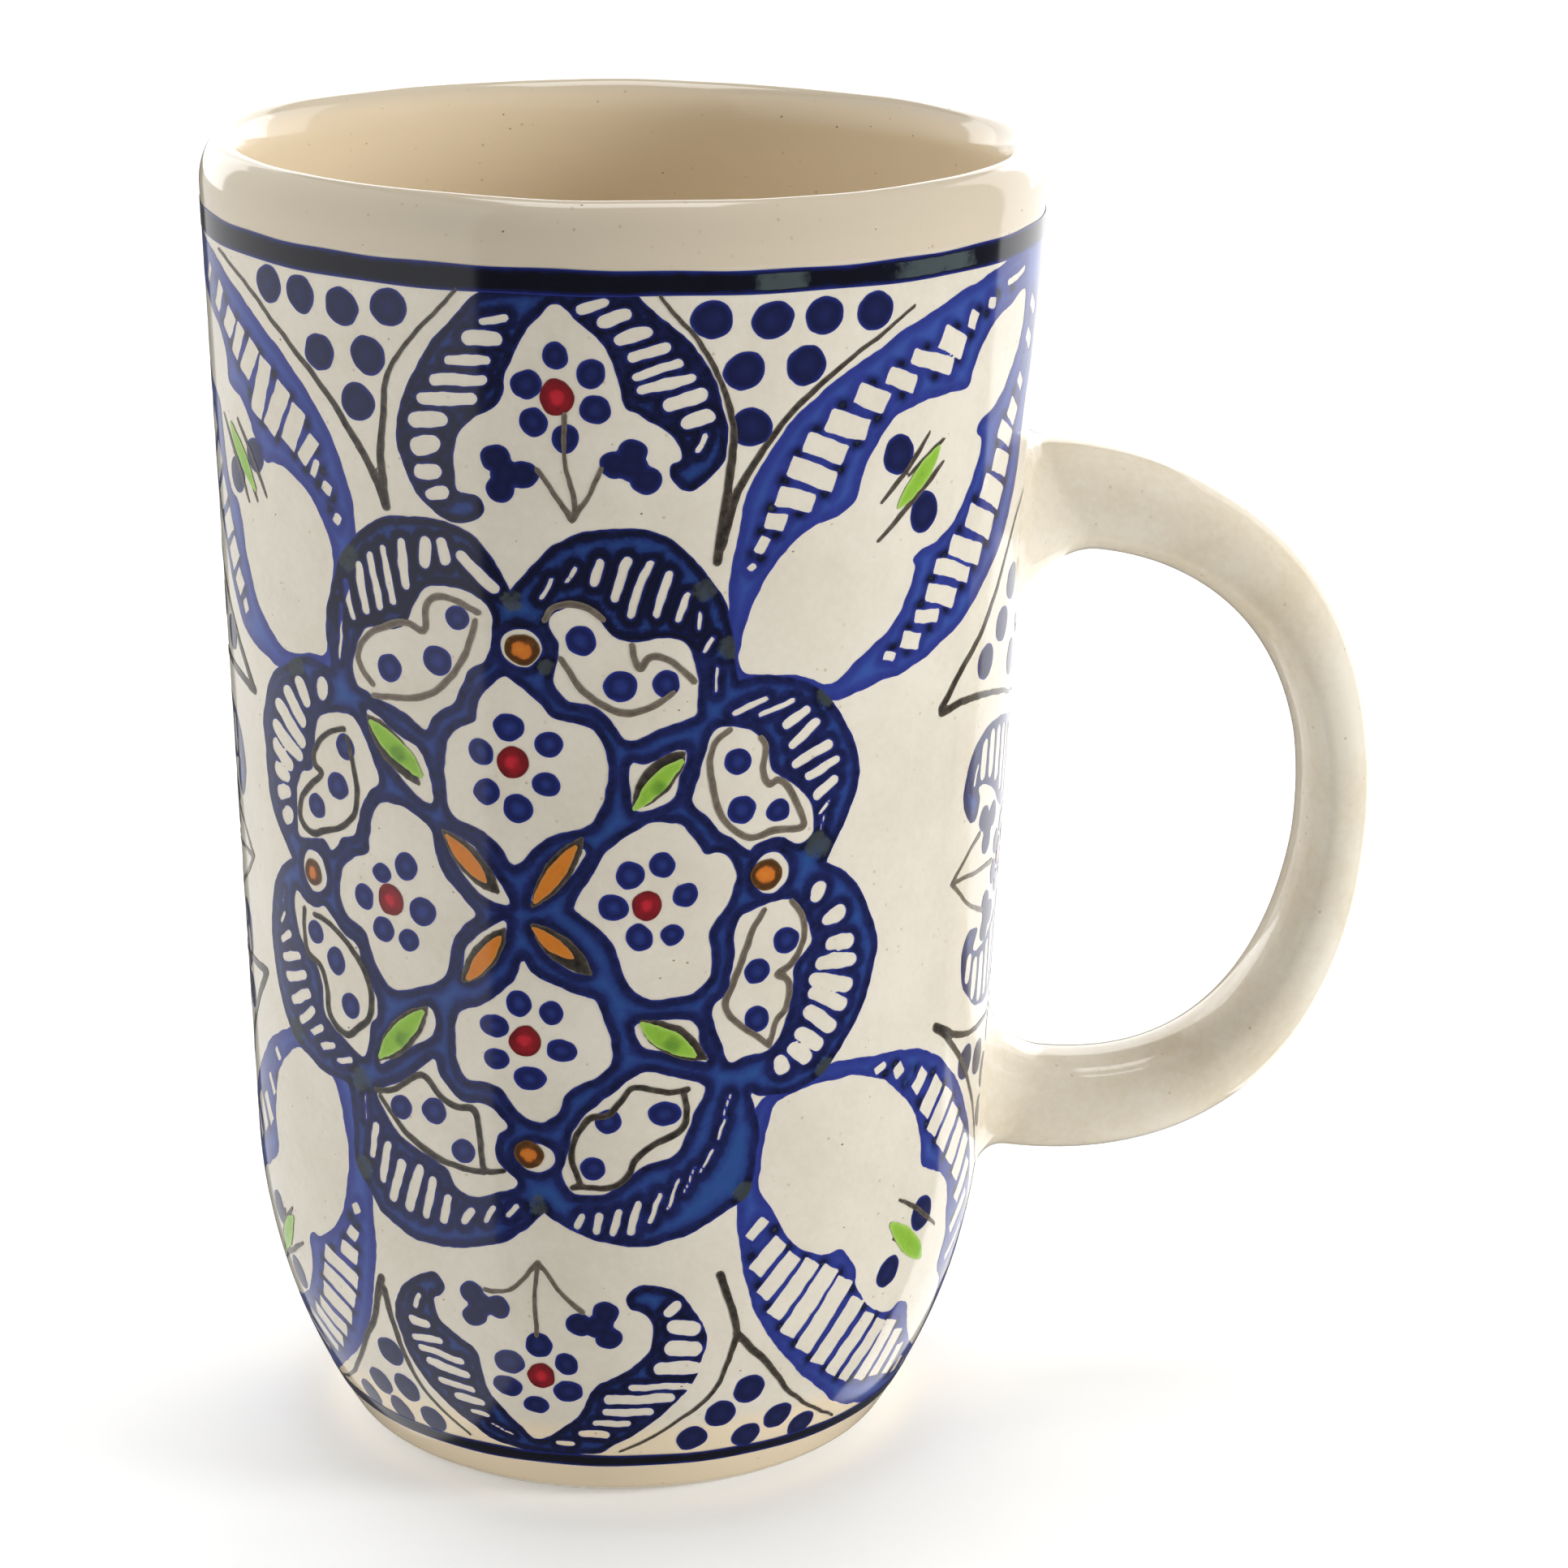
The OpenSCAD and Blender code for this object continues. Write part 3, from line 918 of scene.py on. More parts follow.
    def peel(self) -> tuple[np.ndarray, np.ndarray, dict[str, np.ndarray]]:
        """Cuts the paint out along its edges.

        Returns:
            Its points on the flat, its triangles, and the edge, load and crust values of each point.
        """
        rows, columns = self.paint.shape
        number = np.arange(rows * columns).reshape(rows, columns)
        across = number.size + np.arange(rows * (columns - 1)).reshape(rows, columns - 1)
        up = across.size + number.size + np.arange((rows - 1) * columns).reshape(rows - 1, columns)
        inside = self.paint > 0
        code = (inside[:-1, :-1] * 1 + inside[:-1, 1:] * 2 + inside[1:, 1:] * 4 + inside[1:, :-1] * 8)
        corners = [number[:-1, :-1], number[:-1, 1:], number[1:, 1:], number[1:, :-1]]
        crossings = [across[:-1, :], up[:, 1:], across[1:, :], up[:, :-1]]
        triangles = []
        for case in range(1, 16):
            here = np.nonzero(code == case)
            if not len(here[0]):
                continue
            ring = []
            for k in range(4):
                if case >> k & 1:
                    ring.append(corners[k][here])
                if (case >> k & 1) != (case >> (k + 1) % 4 & 1):
                    ring.append(crossings[k][here])
            for k in range(1, len(ring) - 1):
                triangles.append(np.column_stack([ring[0], ring[k], ring[k + 1]]))
        triangles = np.vstack(triangles)
        x, s = np.meshgrid(self.xs, self.ss)
        layers = np.stack([x, s, self.paint, self.load, self.crust], -1)

        def crossing(a: np.ndarray, b: np.ndarray) -> np.ndarray:
            gap = a[..., 2:3] - b[..., 2:3]
            t = np.clip(a[..., 2:3] / np.where(np.abs(gap) < 1e-9, 1.0, gap), 0.06, 0.94)
            return (a + (b - a) * t).reshape(-1, 5)

        known = np.vstack([layers.reshape(-1, 5), crossing(layers[:, :-1], layers[:, 1:]),
                           crossing(layers[:-1], layers[1:])])
        known[number.size:, 2] = 0
        used, triangles = np.unique(triangles, return_inverse=True)
        known = known[used]
        values = {"edge": np.clip(known[:, 2], 0, self.CREST), "load": known[:, 3], "crust": known[:, 4]}
        return known[:, :2], triangles.reshape(-1, 3), values


# ---------------------------------------------------------------- the motifs

@dataclass(frozen=True)
class Flower:
    """A ring of seeds round a red heart, in a petal left bare."""

    petal: Path
    seeds: Sequence[tuple[float, ...]]
    heart: tuple[float, float, float]


@dataclass(frozen=True)
class Kidney:
    """A bare kidney-shaped field with a thin line round three seeds."""

    field: Path
    lines: Sequence[Path]
    ink: float
    seeds: Sequence[tuple[float, float, float]]


FLOWERS = [
    Flower([(-1.7, 97.7), (1.6, 95.4), (2.9, 93.9), (5.7, 93.3), (7.2, 92.5), (8.2, 90.4), (8.4, 87.8),
           (8.1, 85.1), (7.3, 83.3), (6, 82.3), (3.3, 81.6), (1.6, 80.4), (-1.1, 77.8), (-3, 80.4),
           (-5.1, 81.6), (-7.1, 82.2), (-8, 83.9), (-8.3, 86.6), (-8.1, 89.5), (-7.4, 91.3), (-5.6, 92.3),
           (-4.6, 93), (-4.3, 95.1), (-3.3, 96.4)], [(-1.3, 92.6, 1.5), (2.6, 91, 1.4),
           (2.4, 86.7, 1.5, 1.3), (-0.5, 84, 1.55), (-3.8, 85.5, 1.4), (-4.3, 89.7, 1.4)],
           (-0.95, 88.8, 1.75)),
    Flower([(-15.9, 82.5), (-12.7, 82.5), (-10.1, 80.7), (-9.6, 78.1), (-8.6, 75.7), (-6.8, 73.9),
           (-5.3, 72.2), (-6.8, 70.8), (-8, 68.4), (-8.4, 65.8), (-9.5, 64.3), (-11.5, 63.3), (-14.5, 62.4),
           (-15.9, 62.5), (-17.4, 64), (-18.3, 66.1), (-18.9, 67.8), (-20.3, 68.4), (-21.7, 69.3),
           (-22.4, 71.4), (-22, 73.9), (-20.3, 75.7), (-18, 76.7), (-17.7, 78.3), (-17.3, 80.7)],
           [(-13.2, 76.1, 1.3, 1.55), (-16.2, 74.8, 1.15), (-18.8, 71.7, 1.3, 1.45), (-16.3, 68.7, 1.4),
           (-13.1, 68.1, 1.3), (-11.3, 71.6, 1.6)], (-15.2, 72.1, 1.7)),
    Flower([(14.2, 82.8), (12.5, 82.8), (10.1, 81.3), (8.1, 79.5), (7.2, 77.5), (6, 75.7), (5, 73.9),
           (5.4, 73.1), (7.5, 71.8), (8.9, 69.9), (9.7, 67.8), (10.4, 65.8), (12.2, 64), (14.2, 63.8),
           (17.2, 64.3), (18.9, 65.8), (19.2, 67.5), (18.8, 70.5), (19.5, 72.2), (20.4, 73.1), (21.3, 75.4),
           (21.4, 77.2), (20.7, 78.9), (19.5, 79.4), (18.2, 79.5), (17.3, 81), (16, 82.5)],
           [(10.8, 77.3, 1.45), (13.9, 78.4, 1.35), (16.3, 75.1, 1.35), (9.1, 73.9, 1.6, 1.4),
           (11.7, 70.6, 1.5), (15.1, 70.8, 1.15)], (12.5, 74, 1.6)),
    Flower([(-0.3, 67.7), (0.7, 66.6), (2.8, 65.2), (5.4, 64.3), (7.2, 63.7), (8.1, 61.6), (8.9, 59.3),
           (8.9, 56.9), (7.8, 55.5), (6, 54.6), (4.2, 53.4), (3.5, 51.6), (2.2, 50.2), (1, 49.9),
           (-0.7, 50.6), (-2, 52.2), (-3, 53.4), (-4.8, 53.7), (-6.7, 53.7), (-7.7, 55.2), (-8, 57.5),
           (-7.7, 60.5), (-6.8, 61.6), (-4.8, 62.2), (-3, 63.7), (-1.2, 65.5)], [(-0.8, 63, 1.45),
           (2.7, 62.1, 1.3), (3.7, 58.1, 1.7, 1.3), (0.4, 54.7, 1.8, 1.35), (-3.2, 56.5, 1.5, 1.2),
           (-3.4, 60.2, 1.5, 1.3)], (-0.2, 58.8, 1.7)),
]

KIDNEYS = [
    Kidney([(-17.7, 100.1), (-18.9, 97.2), (-18.6, 94.8), (-16.8, 94.1), (-12.4, 92.5), (-10.3, 91.1),
           (-9.5, 92.8), (-7.1, 94.4), (-6.2, 96), (-5.3, 98.1), (-3.6, 99.5), (-3, 101.9), (-3, 104.2),
           (-4.2, 105.7), (-6.8, 106.6), (-9.8, 106), (-11.5, 103.6), (-12.7, 101.6), (-16.2, 101)],
           [[(-16.4, 95.1), (-17.7, 96.3), (-18.3, 97.8), (-17.4, 99.5), (-15.3, 101), (-12.4, 102.2),
           (-10.1, 101.6), (-9.8, 104.2), (-8.3, 105.4), (-6.2, 105.1), (-4.2, 104.1)], [(-4.6, 103.3),
           (-5.5, 100.4), (-6.8, 97.8), (-9.2, 95.4), (-12.7, 94.2), (-16.4, 94)]], 0.1,
           [(-14.3, 97.2, 1.5), (-8.7, 98.7, 1.55), (-6.5, 103.5, 1.3)]),
    Kidney([(3.1, 104.5), (5.4, 105.6), (7.2, 104.7), (8.6, 102.8), (10.4, 101.9), (13.6, 102.3),
           (15.7, 101.9), (16.9, 100.1), (17.3, 97.2), (17.2, 94.5), (16.6, 93.8), (13.6, 92.9),
           (10.7, 91.6), (9.2, 93.3), (7.2, 95.1), (4.8, 95.7), (3.3, 97.2), (3.6, 99.5), (3.8, 101.3),
           (2.8, 103.1)], [[(2.3, 103.9), (3.3, 105.3), (5.1, 105.7), (6.9, 105), (8, 104.2)],
           [(10.7, 101.6), (11.1, 99.8), (11.6, 99.1), (12.5, 100.3), (14.2, 100), (16.3, 98.3),
           (16.9, 97.5)], [(3.9, 99.9), (5.7, 97.2), (8.3, 95.1), (10.7, 94.5), (12.5, 95), (14.8, 96.6)]],
           0.15, [(5.9, 101.9, 1.5), (9.7, 97.2, 1.6), (14.1, 97.5, 1.4)]),
    Kidney([(18.9, 92.5), (21, 92.8), (23.1, 91.9), (24.6, 90), (25, 87.8), (26.6, 86.6), (28.6, 84.8),
           (29.8, 82.8), (29.8, 80.4), (28.3, 79.5), (26, 80.6), (23.6, 80), (22.8, 79.5), (21.3, 80.7),
           (19.8, 81.6), (18.6, 83.3), (17, 84.8), (17.5, 87.2), (17.9, 89.5)], [[(20.6, 92.5),
           (19.2, 91.3), (18.6, 89.5), (18.9, 86.6), (19.8, 83.6), (21.3, 81.7), (23.3, 80.8), (25.7, 81.3),
           (28.6, 81.3), (28.1, 83.3), (26.9, 85.7), (25.7, 86.7), (24.7, 86.3), (24.1, 87.8), (24.4, 90.1),
           (23.8, 91.3)]], 0.15, [(21.4, 88.9, 1.45), (22, 83.8, 1.45), (25.8, 83.4, 1.25)]),
    Kidney([(23.1, 72.8), (27.5, 73.6), (28.8, 72.2), (29.8, 70.5), (30.3, 68.4), (28.3, 66.3), (28.1, 64),
           (27.9, 61.6), (27.2, 59.3), (25.7, 57.5), (23.1, 56.8), (21.3, 56.6), (20.4, 58.7), (19.5, 61.3),
           (19.4, 62.8), (20.7, 64), (21.3, 66.1), (21.7, 68.7), (21.4, 70.2), (22, 71.9)], [[(24.7, 72.7),
           (23.5, 70.8), (22.9, 69), (22.2, 66.9), (21.3, 64.6), (20.7, 63.1), (21.1, 61.6), (22.5, 60.2),
           (24.2, 59), (25.7, 57.8)], [(25.7, 57.8), (26.4, 60.2), (27.5, 61.6), (27.8, 63.7), (27.3, 64.9),
           (26.4, 65.5), (27.8, 66.3), (28.9, 67.8), (29.4, 69.6), (28.9, 71.9), (27.8, 73.4)]], 0.25,
           [(27.3, 69.2, 1.5), (24.1, 66.1, 1.45), (24.2, 60.8, 1.4)]),
    Kidney([(12, 55.8), (14.8, 55.2), (18.6, 54), (17.8, 51.6), (16.9, 49), (15.4, 46.3), (12.8, 45.5),
           (11, 44.3), (9.5, 43.1), (7.8, 42.1), (5.1, 42.1), (3.8, 44), (4.2, 45.8), (4.8, 49),
           (6.9, 51.6), (9.2, 53.7)], [[(16.9, 53.7), (14.8, 53.4), (11.3, 54.1), (9.8, 52.5), (8.6, 51.1),
           (6.6, 50.5), (5.1, 48.4), (4.7, 46.1), (5.7, 42.8)], [(4.8, 42.8), (8.9, 43), (10.7, 44.3),
           (11.6, 46.3), (13.6, 47.8), (16.3, 49.3), (16.9, 51.3), (16.4, 53.6)]], 0.85,
           [(14.5, 51.1, 1.9, 1.3), (8.6, 50.3, 1.4), (6.9, 45, 1.35)]),
    Kidney([(-18, 50.5), (-14.5, 52.2), (-11.5, 54.6), (-10.3, 55.5), (-9.8, 53.7), (-7.4, 51.3),
           (-4.5, 51.3), (-2.3, 49.3), (-3.3, 48.1), (-3.7, 46.1), (-2.7, 44.3), (-1.2, 42.6), (-4.2, 41.1),
           (-7.1, 40.8), (-8.6, 41.6), (-9.5, 43.4), (-13, 44.9), (-15.6, 46.1), (-17.4, 48.4)],
           [[(-18.4, 50.5), (-15.6, 51.1), (-12.1, 53.4), (-9.8, 51.3), (-8, 50.5), (-5.9, 50.5),
           (-5.3, 47.5), (-4.9, 44), (-2.7, 44)], [(-4.9, 43.6), (-7.1, 43.6), (-9.8, 44.1), (-12.4, 45.2),
           (-15.1, 46.9), (-17.7, 49.9)]], 0.8, [(-14.9, 49.1, 1.45), (-10.7, 49.6, 1.5),
           (-7.3, 45.6, 1.4)]),
    Kidney([(-29.9, 69.6), (-30.5, 67.5), (-30.1, 65.2), (-28.9, 63.7), (-26.8, 61.9), (-26.1, 59.9),
           (-25.9, 57.2), (-24.8, 56.1), (-23.3, 55.2), (-20.3, 53.6), (-19.2, 54.9), (-18.6, 57.5),
           (-17.7, 58.7), (-17.6, 60.8), (-18.9, 63.1), (-19.8, 64.6), (-20.1, 66.1), (-22.1, 66.9),
           (-23.9, 68.4), (-25.1, 69.1), (-26.2, 68.7), (-28.3, 69)], [[(-28.6, 68.1), (-28.9, 65.5),
           (-28.3, 63.1), (-26.2, 62.2), (-25.3, 60.2), (-25.1, 57.5), (-23.9, 56.1), (-22.1, 55.5),
           (-20.3, 56.9), (-18.7, 58.3), (-18.3, 61.3), (-19.8, 64.3), (-22.1, 66.3), (-24.8, 67.5),
           (-26.8, 67.8)]], 0.9, [(-26.7, 65.8, 1.35), (-23.4, 63.6, 1.5), (-21.5, 59, 1.5)]),
    Kidney([(-19.2, 91), (-22.1, 91), (-24.5, 89.8), (-25.2, 87.2), (-25.6, 84.4), (-27.7, 83.1),
           (-28.9, 81), (-29, 78.1), (-28.6, 76), (-24.8, 76.7), (-23.3, 75.7), (-21.5, 77.5),
           (-19.5, 78.4), (-18.9, 81.3), (-17.7, 83.3), (-16.1, 84.8), (-16.8, 87.2), (-18, 89.5)],
           [[(-20.6, 89.4), (-23.3, 88.5), (-25.2, 86.3), (-25.3, 84.8), (-24.3, 83.9), (-25.9, 82.5),
           (-28, 80.4), (-28.4, 78.1), (-26.5, 76.9), (-24.5, 77.6), (-21.8, 78.5), (-19.9, 80.1),
           (-19.3, 82.8), (-19.5, 85.4), (-20.2, 88.6)]], 0.9, [(-20.6, 87.5, 1.35), (-21.9, 83.1, 1.5),
           (-25.4, 80.1, 1.4)]),
]

# The medallion's edge, lobe by lobe, clockwise from the notch at the top.
LOBE_RIMS = [
    [(-0.9, 106.7), (0.7, 108.9), (3.3, 111.6), (6.9, 113.2), (10.1, 113.6), (13.1, 113.1), (16, 111),
     (18.1, 108.3), (19.5, 106.3), (20.6, 103), (21, 100), (21.4, 97.6)],
    [(21.4, 97.6), (24.2, 97.9), (27.2, 97.3), (30.1, 95.7), (32, 93.6), (33.6, 91.3), (34.8, 88.6),
     (35.2, 86.3), (35, 84.2), (33.9, 81.3), (32.5, 78.9), (31.6, 77.1)],
    [(31.6, 77.1), (34.2, 75.4), (36.6, 72.5), (38.1, 69.3), (38.9, 66.6), (38.3, 63.7), (37.3, 60.5),
     (35.4, 57.2), (33.3, 54.6), (31.3, 52.8), (28.3, 51.9), (25.4, 52.1), (23.8, 52.8)],
    [(23.8, 52.8), (24.4, 50.8), (25, 48.4), (24.8, 45.8), (24.2, 42.8), (23.3, 40.8), (21.9, 39.9),
     (19.5, 38.4), (16.6, 37.2), (13.6, 36.3), (10.7, 36.2), (7.8, 36.8), (4.8, 37.8), (3.3, 38.7),
     (1.6, 39.8)],
    [(1.6, 39.8), (-0.6, 37.5), (-3.3, 35.8), (-7.1, 34.6), (-10.9, 34.1), (-14.5, 34.6), (-17.7, 36.1),
     (-19.8, 38.4), (-22, 41.6), (-21.8, 44.6), (-22, 47.5), (-22.4, 50)],
    [(-22.4, 50), (-26.2, 50.2), (-29.2, 51.1), (-31.5, 52.1), (-33.1, 53.4), (-34.8, 55.8), (-35.9, 58.7),
     (-36.4, 62.2), (-35.9, 66.6), (-34.8, 69.3), (-32.7, 71.6), (-30.5, 73.2)],
    [(-30.5, 73.2), (-31.8, 74.5), (-33.6, 76.6), (-34.9, 79.2), (-35.2, 83.6), (-35.6, 86.9),
     (-34.6, 88.9), (-33.6, 91.3), (-31.8, 93.5), (-29.2, 94.8), (-27.7, 95.7), (-25.3, 96.3), (-22, 95.7)],
    [(-22, 95.7), (-22.5, 99.5), (-22.3, 102.5), (-21.5, 104.8), (-20.3, 107.5), (-19.2, 109),
     (-17.4, 110.7), (-15.1, 112.3), (-12.1, 113.3), (-8, 113.3), (-5.3, 112.5), (-3, 110.4),
     (-0.9, 106.7)],
]

# Bare gaps between the rungs that hatch each lobe: from, to, and width.
LOBE_GAPS = [
    (-20.6, 97.2, -20.3, 102.6, 0.8), (-18.8, 101.9, -19.4, 105, 1.1), (-17, 103, -17.6, 107, 1.6),
    (-15.2, 103.6, -16.2, 108.2, 1.6), (-13.7, 104.4, -14.5, 109.3, 1.7), (-12.1, 106.4, -12.3, 110.2, 1.7),
    (-9.9, 108.9, -9.8, 110.6, 2), (-7.7, 109.5, -7.9, 110.5, 2.1), (-5.6, 109.5, -2.8, 107, 1.3),
    (2.2, 106.5, 2.9, 107.8, 0.5), (4.6, 108.2, 5.2, 109.1, 1), (7.2, 108.2, 7.7, 109.8, 1.3),
    (9.2, 106.7, 10.3, 109.9, 1.5), (10.7, 104.9, 12.4, 109.5, 1.2), (13.3, 105.1, 14.2, 108.4, 1.2),
    (15.5, 104.5, 16, 106.4, 1), (17.3, 103.4, 17.3, 104.4, 1.1), (18.1, 101, 18.6, 101.8, 0.7),
    (19, 96.8, 19.1, 98.6, 0.9), (21.3, 94.3, 24, 95.3, 0.9), (24, 93.8, 26.8, 94.7, 1.1),
    (26.8, 92.6, 28.4, 93.5, 1.5), (27.6, 90.5, 29.5, 92, 1.6), (28.1, 88.3, 31, 89.6, 1.7),
    (29.6, 86.7, 31.9, 87.8, 1.5), (30.5, 84.6, 31.9, 85.6, 1.9), (30.9, 82.6, 31.6, 83.4, 1.4),
    (30.9, 80.9, 31.2, 81.8, 0.8), (-33.3, 67.5, -32.8, 68.6, 0.8), (-33.7, 65.4, -33.1, 66.1, 1.1),
    (-33.6, 63.2, -32.4, 64, 1.3), (-33.2, 61.2, -30.7, 62.1, 1.5), (-32.6, 59.1, -29.6, 60.2, 1.6),
    (-31.7, 56.9, -29, 58.3, 1.7), (-30.1, 55.2, -28.3, 56.5, 1.5), (-28.3, 54.1, -26.8, 54.9, 1.3),
    (-26.3, 53.1, -24.9, 53.7, 1.1), (-23.6, 52.3, -22.2, 52.7, 0.9), (20.4, 48.2, 20.9, 49.8, 1.1),
    (20.9, 50.8, 21.4, 52.4, 0.9), (18.6, 44.6, 19.6, 46.4, 1.3), (16.9, 42.4, 17.8, 44.6, 1.4),
    (15, 40.7, 16, 43.3, 1.4), (13.1, 39.2, 14, 41.8, 1.4), (11.1, 38.2, 11.7, 40.5, 1.4),
    (9.2, 38, 9.6, 39.8, 1.3), (7.4, 38.3, 7.6, 39.4, 1.2), (5.4, 38.7, 5.7, 39.3, 1),
    (-19.8, 46.9, -19.9, 49.2, 0.7), (-19, 43, -18.6, 46, 1.3), (-17.7, 40.6, -17, 43.9, 1.5),
    (-16.3, 38.8, -15.2, 42.4, 1.7), (-14.2, 38.3, -12.9, 42.3, 1.9), (-12, 37.8, -11.2, 41.4, 1.6),
    (-9.8, 37.6, -9.4, 39.6, 1.5), (-7.3, 37.9, -6.8, 38.8, 1.3), (-4.8, 38.4, -4.1, 39.4, 1),
    (-2, 39.2, -1.4, 39.9, 0.7)]

# Hatched edges with even rungs: the line of their outer ends, of their inner ends, and how many gaps.
LOBE_LADDERS = [
    ([(29.3, 76.2), (32.6, 73.3), (34.5, 70.2), (35.4, 67.2), (35.6, 65.2), (35.3, 62.5), (34.7, 60.8),
     (33.6, 58.7), (32.2, 57.2), (30.7, 55.8), (29, 54.7), (24.6, 54.6)], [(29.8, 74.2), (31, 71.9),
     (32.2, 69), (31.7, 66.9), (30.4, 65.2), (30.4, 63.7), (30, 62), (29.5, 59.9), (28.3, 57.8),
     (27.8, 56.9), (25.4, 55.8)], 10),
    ([(-21.5, 94.1), (-25.3, 93.8), (-28.6, 92.8), (-30.5, 91.3), (-32, 89.5), (-32.8, 87.2), (-33.1, 85.1),
     (-33.1, 82.8), (-32.7, 80.4), (-32.3, 78.1), (-30.3, 75.6)], [(-22.6, 92.8), (-25.6, 91.3),
     (-26.8, 88.9), (-27.1, 86.4), (-27.7, 84.8), (-29.8, 83.2), (-30.3, 81.6), (-30.3, 79.5),
     (-30.1, 76.6)], 9),
]

# Small bare fields between the petals.
LEAF_FIELDS = [
    [(-8.4, 80.7), (-5.3, 79.5), (-3.3, 76.9), (-1.5, 74.2), (-1.9, 73.5), (-3.6, 73.9), (-5.9, 75.7),
     (-7.4, 77.8)],
    [(-1.8, 71.9), (-4.8, 70.2), (-6.5, 68.1), (-6.5, 64.9), (-4.8, 66), (-2.7, 68.4)],
    [(5.6, 80.2), (6.2, 79.2), (4.2, 76.4), (0.9, 74.1), (1, 75.4), (2.9, 78.4)],
    [(0.9, 71.3), (2.7, 71.3), (5.1, 69.2), (6.6, 66.9), (4.6, 66.9), (2.1, 69)],
    [(-17.4, 92.2), (-13.9, 90.4), (-10.6, 88.3), (-9.9, 83.6), (-14.5, 86.6)],
    [(10.7, 88.9), (12.5, 89.2), (16, 90.6), (15.7, 87.8), (14.8, 85.1), (11, 84.4)],
    [(-10.8, 61.2), (-10.6, 58.1), (-14.5, 55.5), (-17.4, 53.4), (-16.8, 55.8), (-14, 59)],
    [(11.6, 61.3), (17.2, 61.3), (18.2, 58.7), (18.8, 56.6), (14.2, 58.1), (12, 59)],
]
ORANGE_LEAVES = [((-8.1, 80.2), (-3.9, 75.9), 1.8), ((5.2, 80.2), (1.0, 74.2), 1.9),
                 ((-2.6, 70.0), (-6.2, 64.9), 1.8), ((0.9, 71.2), (4.9, 68.4), 1.6)]
GREEN_LEAVES = [((-16.9, 91), (-10.9, 86.3), 2.3), ((11, 84.5), (15.7, 89.4), 1.9),
                ((-11.8, 60.5), (-17.4, 54.2), 2.2), ((12, 61.2), (17.6, 57.4), 2.3)]
LEAF_LINES = [((-8.6, 80.8), (-2.6, 74.7), 2.9), ((6, 81.3), (0.8, 73.7), 2.9),
              ((-2, 71), (-6.8, 64.5), 2.9), ((0.7, 71.7), (6.9, 66.6), 2.9),
              ((-17.3, 91.6), (-11.2, 85.4), 3.3), ((10.9, 84.6), (15.9, 90.3), 3.3),
              ((-11.2, 61.1), (-17.5, 53.9), 3.3), ((11.8, 61.5), (18.8, 57), 3.3)]
# Round bare spots with an orange dot: centre, bare radii, then the dot's centre and radius.
ORANGE_SPOTS = [(0, 100.9, 2.0, 2.1, 0.1, 100.7, 1.7), (-26.3, 72.8, 2.0, 2.3, -26.6, 72.6, 1.45),
                (25.3, 76.7, 2.0, 2.3, 24.8, 76.6, 1.75), (0.85, 45.9, 2.1, 1.7, 0.1, 46.2, 1.6)]
CRUSTED_SPOTS = [(-19, 108, 2.4), (-28, 95, 2.6), (30.5, 79, 2.4), (31, 95, 2.2), (-31.5, 53.5, 2.2),
                 (-20.5, 51, 2.2), (-20.5, 41, 2.2), (1, 40.5, 1.8), (23.5, 41.5, 2.2), (32.5, 54, 2.2),
                 (-0.8, 105.8, 1.8), (20.6, 101, 2.2), (2.5, 99, 1.4), (17.6, 107, 2)]


@dataclass(frozen=True)
class Crest:
    """Two hatched arms that curl round a small flower."""

    arms: Path
    gaps: Sequence[tuple[float, ...]]
    seeds: Sequence[tuple[float, ...]]
    heart: tuple[float, float, float]
    stems: Sequence[Path]
    buds: Sequence[Path]


